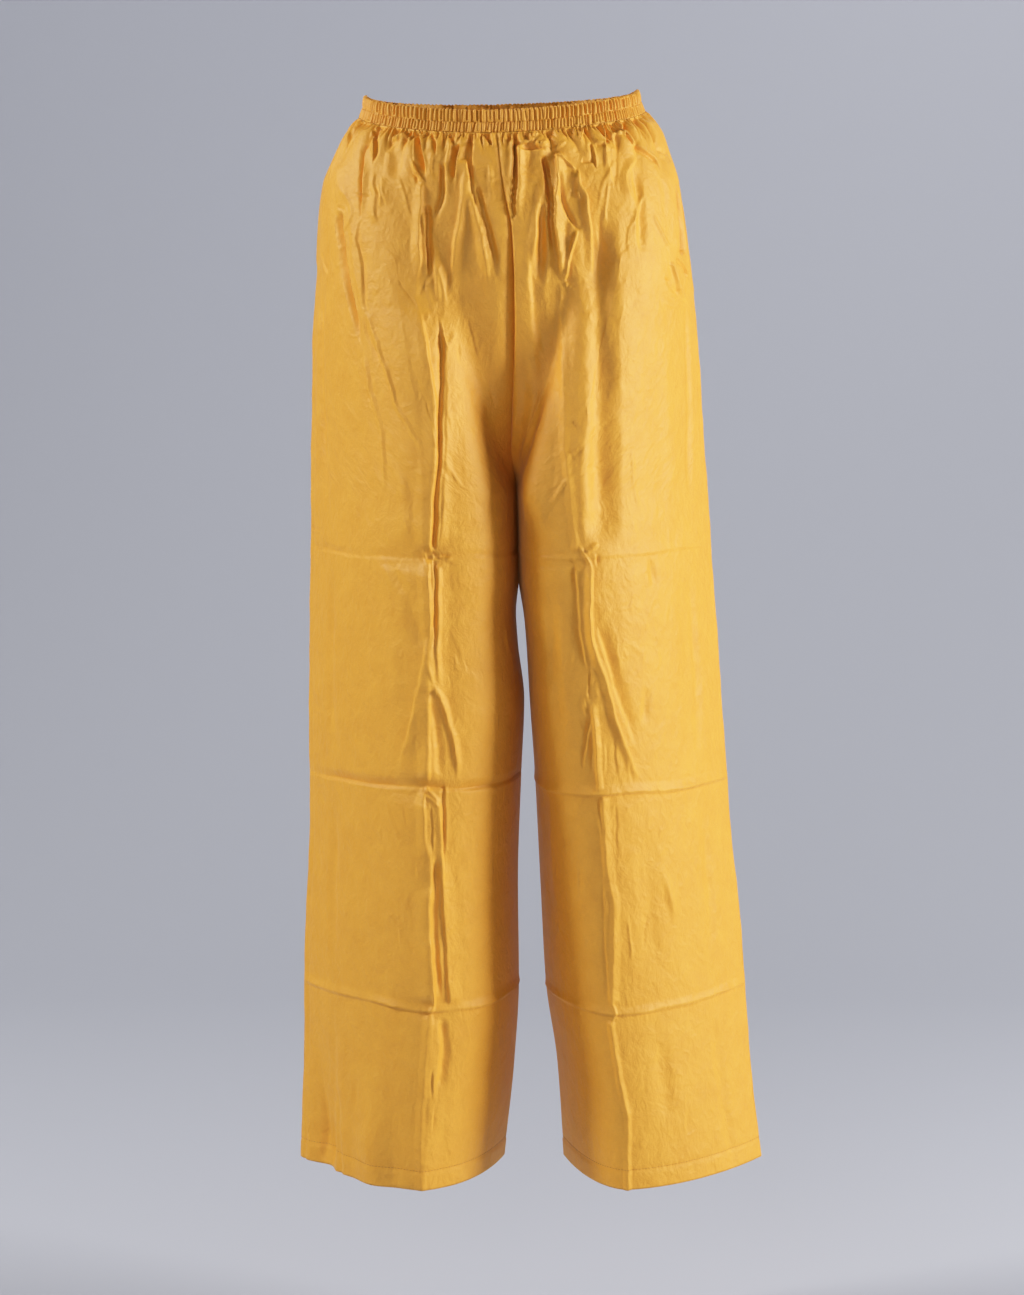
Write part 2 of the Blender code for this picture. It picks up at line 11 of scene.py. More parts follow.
import bpy
import numpy as np
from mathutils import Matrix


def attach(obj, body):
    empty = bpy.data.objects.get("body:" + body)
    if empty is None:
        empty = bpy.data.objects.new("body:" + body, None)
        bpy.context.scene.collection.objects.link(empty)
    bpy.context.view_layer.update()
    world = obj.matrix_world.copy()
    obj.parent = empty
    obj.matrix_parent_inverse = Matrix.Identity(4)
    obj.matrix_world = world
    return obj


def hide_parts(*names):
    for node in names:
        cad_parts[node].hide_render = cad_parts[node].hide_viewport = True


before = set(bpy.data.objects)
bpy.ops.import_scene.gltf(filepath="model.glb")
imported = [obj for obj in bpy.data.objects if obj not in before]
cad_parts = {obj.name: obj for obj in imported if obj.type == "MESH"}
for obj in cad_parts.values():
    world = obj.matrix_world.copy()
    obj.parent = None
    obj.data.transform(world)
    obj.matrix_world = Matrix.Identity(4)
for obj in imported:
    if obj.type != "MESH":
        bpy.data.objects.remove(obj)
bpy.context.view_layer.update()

MM = 0.001
LEFT, RIGHT = -1, 1
FRONT, BACK = -1, 1
SIDE_NAMES = {LEFT: "left", RIGHT: "right"}
FACE_NAMES = {FRONT: "front", BACK: "back"}

# The form, as in the solids
SEAM_GAP = 0.3
CLOTH = 1.0
HEM_CLOTH = 1.8
HEM_WIDTH = 17.0
HEM_LEVEL = -950.0
CROTCH_LEVEL = -332.0
BAND_TOP = 14.5
BAND_FOOT = -3.6
BAND_WALL = 2.2
OVAL_POWER = 2.2
SEAM_HANDLE = np.array([0.22, 0.42])
CREASE_HANDLE = np.array([0.62, 0.93])
SQUARE_SEAM_HANDLE = np.array([0.0, 0.85])
SQUARE_CREASE_HANDLE = np.array([0.12, 1.0])
HALF_STEPS = 240

Seams = namedtuple("Seams", "level left right depth dip tilt")
SEAMS = [
    Seams(14.5, -121.0, 120.5, 0.0, 26.5, 2.5),
    Seams(4.0, -122.5, 123.0, 0.0, 26.5, 2.5),
    Seams(-6.0, -127.0, 127.5, 0.0, 27.0, 2.5),
    Seams(-14.0, -134.0, 134.5, 0.0, 25.0, 2.5),
    Seams(-24.0, -140.5, 141.0, 0.0, 22.5, 2.4),
    Seams(-40.0, -148.5, 148.0, 0.0, 19.0, 2.2),
    Seams(-62.0, -156.5, 155.5, 0.0, 15.0, 1.8),
    Seams(-96.0, -161.5, 162.0, 1.0, 11.5, 1.1),
    Seams(-150.0, -165.0, 170.0, 3.0, 8.5, 0.3),
    Seams(-200.0, -169.0, 175.0, 5.0, 6.5, 0.0),
    Seams(-290.0, -171.5, 182.0, 9.0, 4.0, 0.0),
    Seams(-400.0, -173.5, 190.5, 12.0, 2.0, 0.0),
    Seams(-520.0, -176.0, 200.0, 14.0, 0.5, 0.0),
    Seams(-640.0, -176.5, 209.5, 15.0, 0.0, 0.0),
    Seams(-745.0, -182.0, 221.0, 16.0, 0.0, 0.0),
    Seams(-840.0, -183.5, 228.0, 15.0, 0.0, 0.0),
    Seams(-950.0, -187.0, 240.0, 10.0, 0.0, 0.0),
]

Hips = namedtuple("Hips", "level front back centre crease_share front_share back_share")
HIPS = [
    Hips(14.5, -91.0, 91.0, -4.0, 0.0, 0.0, 0.0),
    Hips(-6.0, -93.5, 94.5, -3.5, 0.0, 0.0, 0.0),
    Hips(-14.0, -96.5, 97.5, -3.0, 0.0, 0.0, 0.0),
    Hips(-28.0, -99.5, 101.0, -2.0, 0.0, 0.0, 0.0),
    Hips(-50.0, -102.0, 107.0, 0.0, 0.0, 0.0, 0.0),
    Hips(-75.0, -104.5, 114.0, 3.5, 0.05, 0.0, 0.0),
    Hips(-100.0, -106.5, 120.0, 7.5, 0.14, 0.01, 0.0),
    Hips(-150.0, -110.0, 127.0, 9.5, 0.37, 0.06, 0.0),
    Hips(-200.0, -112.5, 129.0, 11.0, 0.62, 0.16, 0.02),
    Hips(-240.0, -114.0, 128.0, 11.5, 0.79, 0.29, 0.09),
    Hips(-270.0, -114.5, 126.0, 12.0, 0.89, 0.44, 0.24),
    Hips(-298.0, -114.5, 124.0, 12.5, 0.955, 0.66, 0.48),
    Hips(-318.0, -114.5, 122.5, 13.0, 0.99, 0.87, 0.78),
    Hips(-332.0, -114.5, 121.5, 13.5, 1.0, 1.0, 1.0),
]

Legs = namedtuple(
    "Legs",
    "level left_inseam right_inseam left_crease right_crease front back inseam left_square right_square",
)
LEGS = [
    Legs(-332.0, 13.5, 13.5, -65.0, 66.0, -115.0, 121.5, 12.0, 0.8, 0.95),
    Legs(-400.0, 13.8, 16.0, -64.5, 75.0, -113.5, 117.0, 12.0, 0.85, 1.0),
    Legs(-434.0, 12.5, 18.7, -64.0, 78.0, -112.0, 115.0, 12.0, 0.8, 1.0),
    Legs(-470.0, 14.5, 21.8, -63.5, 80.0, -110.0, 113.0, 12.0, 0.75, 0.95),
    Legs(-524.0, 20.5, 25.0, -63.0, 82.5, -107.0, 110.0, 13.0, 0.65, 0.9),
    Legs(-590.0, 18.0, 29.5, -63.0, 86.0, -103.0, 107.0, 14.0, 0.55, 0.75),
    Legs(-690.0, 15.0, 34.5, -62.5, 91.0, -95.5, 102.0, 16.0, 0.45, 0.5),
    Legs(-785.0, 16.0, 39.5, -62.0, 96.0, -88.0, 98.0, 17.0, 0.4, 0.3),
    Legs(-859.0, 12.0, 50.0, -64.0, 103.0, -85.5, 96.0, 17.5, 0.3, 0.2),
    Legs(-950.0, 2.5, 56.5, -70.0, 110.0, -84.0, 93.0, 18.0, 0.2, 0.15),
]

# Pocket bags: how far the bag reaches across the front panel at each level, as a share
BagLine = namedtuple("BagLine", "level reach")
POCKET_BAG = [
    BagLine(-45.0, 0.28),
    BagLine(-65.0, 0.36),
    BagLine(-90.0, 0.41),
    BagLine(-120.0, 0.44),
    BagLine(-155.0, 0.45),
    BagLine(-195.0, 0.42),
    BagLine(-235.0, 0.28),
]
POCKET_BAG_DEPTH = 1.6
POCKET_BAG_WRAP = 0.09
POCKET_BAG_CLEAR = 2.6
POCKET_BAG_SAG = 0.6
POCKET_BAG_COLUMNS = 60
POCKET_BAG_ROWS = 60

# Meshes: rows above each level are this far apart, and every third point has one on the inside
RowStep = namedtuple("RowStep", "foot step")
FRONT_ROWS = [
    RowStep(-50.0, 1.2),
    RowStep(-150.0, 1.35),
    RowStep(-368.0, 2.5),
    RowStep(-402.0, 1.5),
    RowStep(-572.0, 3.5),
    RowStep(-606.0, 1.5),
    RowStep(-772.0, 4.0),
    RowStep(-804.0, 1.5),
    RowStep(HEM_LEVEL + 24.0, 4.4),
    RowStep(HEM_LEVEL, 2.2),
]
BACK_ROWS = [
    RowStep(-45.0, 1.5),
    RowStep(-120.0, 1.9),
    RowStep(-370.0, 3.2),
    RowStep(-400.0, 1.8),
    RowStep(-574.0, 4.2),
    RowStep(-604.0, 1.8),
    RowStep(-772.0, 4.4),
    RowStep(-804.0, 1.8),
    RowStep(HEM_LEVEL + 24.0, 4.4),
    RowStep(HEM_LEVEL, 2.4),
]
FRONT_COLUMNS = 201
BACK_COLUMNS = 174
CREASE_CROWD = 0.5
HIP_SCALE, LEG_SCALE, BROAD_SCALE = 2.0, 1.15, 1.2
HIP_FOOT = -165.0
NARROW, BROAD = 4.0, 10.0
NARROWEST = 1.6
LAP_WIDEST = 3.6
LAP_REACH = 3.0
LAP_LOW, LAP_HIGH = 0.3, 0.7
LAP_EDGE = 0.6
INNER_STEP = 3

# Folds of the two front panels, placed in the front view. A path runs down, or to the right where it lies
# across. Its rise is how far the cloth stands out there, or lies in where that is below nothing. Left and
# right are how far the fold reaches to the two sides of a path that runs down, and below and above one that
# runs right. A crisp fold of 1 has a pointed crest, and one of 0 a round one. Head and tail are the shares
# of its length over which it starts and ends, and grow is its width at the end, against 1 at the start.
Fold = namedtuple("Fold", "rise left right crisp head tail grow path")
LEFT_FOLDS = [
    # hip side, below the band
    Fold(1.8, 1.4, 16, 0.4, 0.1, 0.2, 1, [(-124, -15), (-132, -30), (-139, -45), (-142, -66), (-142, -90)]),
    Fold(-1.4, 1.2, 1.5, 0.5, 0.1, 0.4, 1, [(-127, -15), (-134, -45)]),
    Fold(-2.8, 1.6, 2.2, 0.4, 0.1, 0.5, 1,
         [(-112, -36), (-117, -47), (-119, -79), (-119, -99), (-122, -108)]),
    Fold(-2.4, 1.4, 1.8, 0.5, 0.1, 0.4, 1, [(-109, -23), (-108, -38), (-110, -56)]),
    Fold(-0.8, 1.1, 1.4, 0.5, 0.3, 0.3, 1, [(-126, -79), (-110, -83)]),
    Fold(-0.9, 1.1, 1.3, 0.5, 0.3, 0.3, 1, [(-142, -90), (-134, -95)]),
    Fold(-3.8, 7.0, 1.6, 0.5, 0.08, 0.4, 0.6,
         [(-138, -92), (-134, -135), (-129, -160), (-122, -194), (-118, -216)]),
    Fold(1.5, 3.0, 12, 0.2, 0.3, 0.4, 1, [(-130, -92), (-125, -140), (-117, -190), (-113, -214)]),
    Fold(1.6, 1.3, 2.6, 0.8, 0.1, 0.3, 1,
         [(-118, -214), (-112, -244), (-106, -267), (-101, -290), (-100, -321), (-105, -340)]),
    Fold(-1.2, 1.0, 1.2, 0.6, 0.2, 0.4, 1,
         [(-119, -99), (-123, -118), (-120, -129), (-117, -159), (-116, -172), (-110, -195)]),
    Fold(1.7, 1.3, 4.0, 0.5, 0.3, 0.3, 1, [(-96, -34), (-84, -32), (-75, -37)]),
    Fold(-1.5, 7.0, 8.0, 0.0, 0.15, 0.4, 1.2, [(-92, -30), (-91, -52), (-90, -72)]),
    Fold(-3.4, 3.5, 1.3, 0.4, 0.05, 0.3, 1, [(-71, -28), (-68, -40), (-65, -54), (-63, -68)]),
    Fold(1.6, 3.0, 1.5, 0.5, 0.3, 0.2, 1, [(-77, -51), (-72, -61), (-65, -73)]),
    Fold(-1.0, 1.2, 1.2, 0.5, 0.3, 0.3, 1, [(-75, -63), (-66, -70)]),
    Fold(3.2, 9.0, 1.7, 0.4, 0.1, 0.4, 1, [(-66, -70), (-68, -107), (-69, -140), (-73, -158)]),
    Fold(-3.2, 2.5, 6.0, 0.2, 0.1, 0.4, 1, [(-63, -90), (-62, -120), (-60, -155)]),
    Fold(1.8, 1.8, 8.0, 0.5, 0.1, 0.3, 1, [(-66, -94), (-64, -115), (-55, -152), (-53, -179)]),
    Fold(-2.4, 1.6, 1.6, 0.5, 0.05, 0.4, 1, [(-59, -27), (-55, -41), (-55, -52)]),
    Fold(-1.8, 3.0, 4.0, 0.2, 0.15, 0.4, 1.3, [(-51, -54), (-50, -70), (-51, -88), (-60, -110)]),
    Fold(-3.2, 3.0, 2.5, 0.3, 0.1, 0.4, 1, [(-35, -40), (-38, -58), (-40, -76)]),
    Fold(2.2, 2.0, 7.0, 0.5, 0.1, 0.4, 1.2, [(-31, -64), (-34, -95), (-39, -127), (-41, -146), (-46, -178)]),
    Fold(2.8, 9.0, 1.8, 0.5, 0.05, 0.3, 1,
         [(-30, -52), (-27, -74), (-20, -101), (-16, -120), (-11, -147), (-10, -166)]),
    Fold(-2.6, 2.0, 5.0, 0.2, 0.1, 0.4, 1.2, [(-22, -75), (-14, -103), (-9, -125), (-5, -152)]),
    Fold(-1.6, 1.3, 1.8, 0.5, 0.1, 0.3, 1, [(-27, -32), (-24, -41), (-25, -68), (-22, -86), (-10, -113)]),
    Fold(-1.7, 1.5, 2.0, 0.4, 0.1, 0.4, 1, [(-16, -32), (-7, -44)]),
    Fold(-0.7, 1.4, 1.4, 0.5, 0.3, 0.3, 1, [(-89, -150), (-68, -180)]),
    Fold(-0.8, 1.5, 1.5, 0.4, 0.3, 0.3, 1, [(-158, -123), (-155, -138), (-150, -148)]),
    Fold(-0.8, 1.2, 1.2, 0.5, 0.3, 0.3, 1, [(-148, -119), (-150, -147)]),
    # thigh
    Fold(3.0, 15, 2.4, 0.3, 0.15, 0.04, 1,
         [(-71, -172), (-64, -206), (-58, -246), (-55, -273), (-56, -313), (-59, -340), (-61, -384)]),
    Fold(-3.8, 2.6, 3.0, 0.2, 0.15, 0.04, 1,
         [(-53, -182), (-49, -210), (-50, -240), (-51, -273), (-52, -307), (-54, -340), (-56, -382)]),
    Fold(1.2, 2.2, 13, 0.3, 0.12, 0.06, 1, [(-47, -192), (-46, -255), (-47, -305), (-49, -340), (-51, -380)]),
    Fold(1.4, 1.3, 1.5, 0.6, 0.2, 0.1, 1, [(-52, -186), (-47, -211)]),
    Fold(1.4, 1.5, 1.3, 0.6, 0.2, 0.1, 1, [(-38, -197), (-47, -212)]),
    Fold(-0.7, 1.0, 1.3, 0.6, 0.2, 0.3, 1, [(-29, -184), (-23, -206), (-18, -223)]),
    Fold(-0.7, 1.0, 1.3, 0.6, 0.2, 0.3, 1, [(-18, -230), (-12, -242), (-7, -260)]),
    Fold(-0.6, 1.0, 1.2, 0.6, 0.2, 0.3, 1, [(-35, -206), (-35, -224)]),
    Fold(1.6, 1.3, 2.6, 0.8, 0.1, 0.3, 1,
         [(-116, -178), (-103, -213), (-93, -242), (-89, -258), (-75, -281), (-63, -305)]),
    Fold(-1.3, 1.0, 1.3, 0.6, 0.2, 0.4, 1, [(-116, -185), (-110, -204), (-95, -233)]),
    Fold(-0.8, 1.1, 1.3, 0.6, 0.2, 0.3, 1, [(-65, -252), (-59, -276), (-54, -303)]),
    Fold(-0.9, 1.2, 1.2, 0.5, 0.3, 0.3, 1, [(-45, -269), (-43, -278)]),
    Fold(1.0, 1.2, 1.8, 0.7, 0.1, 0.4, 1, [(-48, -306), (-40, -319), (-33, -330)]),
    Fold(-0.8, 1.2, 1.4, 0.6, 0.1, 0.4, 1, [(-48, -313), (-41, -325)]),
    Fold(-0.7, 1.1, 1.3, 0.6, 0.2, 0.3, 1, [(-120, -244), (-111, -258)]),
    Fold(1.2, 1.3, 12, 0.3, 0.1, 0.3, 1, [(-161, -172), (-164, -272), (-166, -350)]),
    Fold(-1.1, 1.2, 1.3, 0.4, 0.05, 0.4, 1, [(-173, -371), (-158, -370)]),
    Fold(-0.8, 14, 12, 0.0, 0.3, 0.3, 1, [(-126, -262), (-118, -314), (-112, -372)]),
    Fold(1.0, 8.0, 8.0, 0.0, 0.3, 0.3, 1, [(-84, -310), (-79, -374)]),
    Fold(3.8, 44, 16, 0.8, 0.15, 0.1, 1, [(-72, -165), (-60, -240), (-57, -310), (-61, -384)]),
    Fold(3.6, 46, 18, 0.8, 0.08, 0.08, 1, [(-62, -388), (-62, -470), (-63, -586)]),
    Fold(3.4, 46, 16, 0.8, 0.08, 0.08, 1, [(-63, -590), (-62, -690), (-61, -785)]),
    Fold(3.4, 46, 18, 0.8, 0.08, 0.05, 1, [(-62, -787), (-68, -870), (-71, -955)]),
    # from the first press line to the second
    Fold(1.1, 1.6, 2.4, 0.7, 0.2, 0.2, 1, [(-67, -381), (-65, -388), (-62, -395)]),
    Fold(1.1, 2.0, 1.6, 0.7, 0.2, 0.2, 1, [(-62, -377), (-59, -382), (-57, -390)]),
    Fold(-2.2, 1.3, 2.6, 0.4, 0.15, 0.4, 1, [(-60, -380), (-53, -385), (-39, -384)]),
    Fold(1.2, 1.2, 1.6, 0.6, 0.2, 0.4, 1, [(-57, -383), (-50, -388), (-38, -387)]),
    Fold(-1.1, 1.1, 1.4, 0.5, 0.3, 0.3, 1, [(-50, -391), (-41, -392)]),
    Fold(2.4, 9.0, 1.9, 0.5, 0.04, 0.2, 1, [(-62, -390), (-61, -422), (-61, -462)]),
    Fold(2.6, 1.9, 12, 0.5, 0.15, 0.25, 1.2,
         [(-61, -452), (-66, -482), (-73, -518), (-82, -552), (-89, -577)]),
    Fold(-2.6, 2.2, 2.2, 0.2, 0.05, 0.35, 1, [(-58, -388), (-57, -415), (-58, -458), (-61, -478)]),
    Fold(2.0, 2.6, 4.0, 0.3, 0.05, 0.3, 1, [(-54, -392), (-54, -429), (-55, -458), (-54, -482), (-53, -503)]),
    Fold(1.1, 1.2, 1.3, 0.7, 0.2, 0.3, 1, [(-63, -478), (-58, -495)]),
    Fold(1.4, 1.3, 2.0, 0.6, 0.2, 0.3, 1, [(-67, -498), (-60, -500), (-53, -507)]),
    Fold(2.6, 2.0, 5.0, 0.7, 0.08, 0.3, 1.1,
         [(-62, -498), (-54, -506), (-48, -523), (-42, -545), (-39, -569), (-38, -584)]),
    Fold(2.2, 9.0, 2.0, 0.5, 0.1, 0.1, 1.1, [(-63, -504), (-62, -522), (-63, -551), (-63, -583)]),
    Fold(-1.5, 3.5, 6.0, 0.1, 0.15, 0.2, 1.2, [(-60, -508), (-57, -528), (-55, -552), (-53, -582)]),
    Fold(-1.4, 11, 8.0, 0.0, 0.25, 0.25, 1, [(-95, -396), (-81, -422), (-70, -446), (-64, -468)]),
    Fold(1.4, 10, 8.0, 0.0, 0.25, 0.25, 1, [(-109, -389), (-87, -416), (-75, -437)]),
    Fold(-0.6, 11, 10, 0.0, 0.3, 0.3, 1, [(-118, -440), (-121, -530)]),
    Fold(1.0, 9.0, 9.0, 0.0, 0.3, 0.3, 1, [(-92, -450), (-90, -520)]),
    Fold(0.9, 1.1, 1.5, 0.6, 0.2, 0.3, 1, [(-142, -459), (-149, -468), (-146, -480)]),
    Fold(-0.9, 1.1, 1.1, 0.6, 0.2, 0.3, 1, [(-152, -522), (-157, -552)]),
    Fold(0.9, 1.1, 1.6, 0.6, 0.2, 0.3, 1, [(4, -450), (5, -468), (9, -479), (9, -502)]),
    # from the second press line to the third
    Fold(1.9, 1.4, 2.4, 0.7, 0.2, 0.2, 1, [(-67, -584), (-62, -590), (-54, -601)]),
    Fold(1.6, 2.4, 1.4, 0.7, 0.2, 0.2, 1, [(-66, -592), (-61, -596), (-55, -603)]),
    Fold(2.0, 6.0, 1.6, 0.5, 0.05, 0.3, 1, [(-55, -598), (-52, -625), (-52, -652), (-51, -670), (-48, -678)]),
    Fold(-2.2, 1.7, 1.7, 0.3, 0.04, 0.5, 1, [(-49, -584), (-49, -625), (-50, -666)]),
    Fold(2.2, 9.0, 2.0, 0.5, 0.05, 0.2, 1, [(-66, -590), (-65, -632), (-61, -650)]),
    Fold(-1.2, 3.0, 3.0, 0.1, 0.1, 0.3, 1, [(-61, -602), (-60, -622), (-59, -646)]),
    Fold(-2.2, 4.5, 4.0, 0.1, 0.1, 0.2, 1,
         [(-58, -645), (-57, -672), (-59, -698), (-58, -724), (-57, -751), (-53, -784)]),
    Fold(2.6, 15, 2.0, 0.4, 0.1, 0.05, 1, [(-62, -672), (-63, -710), (-61, -736), (-60, -782)]),
    Fold(2.2, 1.8, 12, 0.4, 0.1, 0.05, 1, [(-53, -650), (-50, -711), (-48, -745), (-46, -783)]),
    Fold(0.9, 1.1, 2.0, 0.7, 0.2, 0.3, 1, [(-102, -601), (-94, -621), (-87, -637), (-79, -652)]),
    Fold(-0.7, 1.1, 1.2, 0.6, 0.2, 0.3, 1, [(-85, -603), (-81, -624)]),
    Fold(0.7, 1.1, 1.4, 0.6, 0.2, 0.3, 1, [(-129, -679), (-117, -664)]),
    Fold(-0.8, 1.1, 1.2, 0.6, 0.2, 0.3, 1, [(-148, -669), (-148, -693)]),
    Fold(-0.8, 1.1, 1.2, 0.6, 0.2, 0.3, 1, [(-74, -652), (-72, -671)]),
    Fold(-0.7, 1.1, 1.2, 0.6, 0.2, 0.3, 1, [(-27, -656), (-24, -681), (-22, -705)]),
    Fold(-0.6, 1.1, 1.2, 0.6, 0.2, 0.3, 1, [(-91, -706), (-89, -731)]),
    Fold(-0.7, 14, 12, 0.0, 0.3, 0.3, 1, [(-124, -610), (-120, -690), (-124, -770)]),
    Fold(-0.5, 10, 10, 0.0, 0.3, 0.3, 1, [(-150, -600), (-153, -700), (-158, -770)]),
    # below the third press line
    Fold(2.2, 1.5, 3.0, 0.6, 0.2, 0.2, 1, [(-60, -766), (-60, -780), (-64, -790)]),
    Fold(-1.6, 1.3, 2.0, 0.5, 0.2, 0.3, 1, [(-70, -786), (-63, -791)]),
    Fold(1.4, 6.0, 4.0, 0.9, 0.02, 0.02, 1,
         [(-63, -788), (-65, -819), (-68, -857), (-70, -889), (-71, -921), (-70, -952)]),
    Fold(-3.0, 5.0, 7.0, 0.0, 0.15, 0.5, 1, [(-54, -792), (-51, -823), (-58, -870)]),
    Fold(-1.1, 1.2, 1.3, 0.6, 0.2, 0.3, 1, [(-60, -875), (-62, -897)]),
    Fold(-1.2, 2.0, 3.0, 0.3, 0.2, 0.3, 1, [(-61, -840), (-62, -867)]),
    Fold(-0.8, 1.2, 1.6, 0.6, 0.2, 0.3, 1, [(-118, -794), (-105, -805), (-88, -815), (-75, -822)]),
    Fold(-0.8, 1.2, 1.4, 0.6, 0.2, 0.3, 1, [(-164, -920), (-147, -905)]),
    Fold(-2.2, 5.0, 4.0, 0.2, 0.4, 0.02, 1, [(-150, -860), (-148, -924), (-147, -953)]),
    Fold(-1.7, 4.0, 4.0, 0.1, 0.3, 0.1, 1, [(-168, -865), (-166, -905), (-170, -950)]),
    Fold(-1.0, 5.0, 3.0, 0.1, 0.3, 0.3, 1, [(-130, -855), (-131, -886)]),
    Fold(-0.6, 14, 14, 0.0, 0.3, 0.3, 1, [(-120, -820), (-118, -900)]),
    Fold(-8.0, 18, 16, 0.0, 0.9, 0.01, 1, [(-164, -800), (-163, -957)]),
    Fold(6.0, 22, 24, 0.0, 0.9, 0.01, 1, [(-116, -820), (-114, -957)]),
]
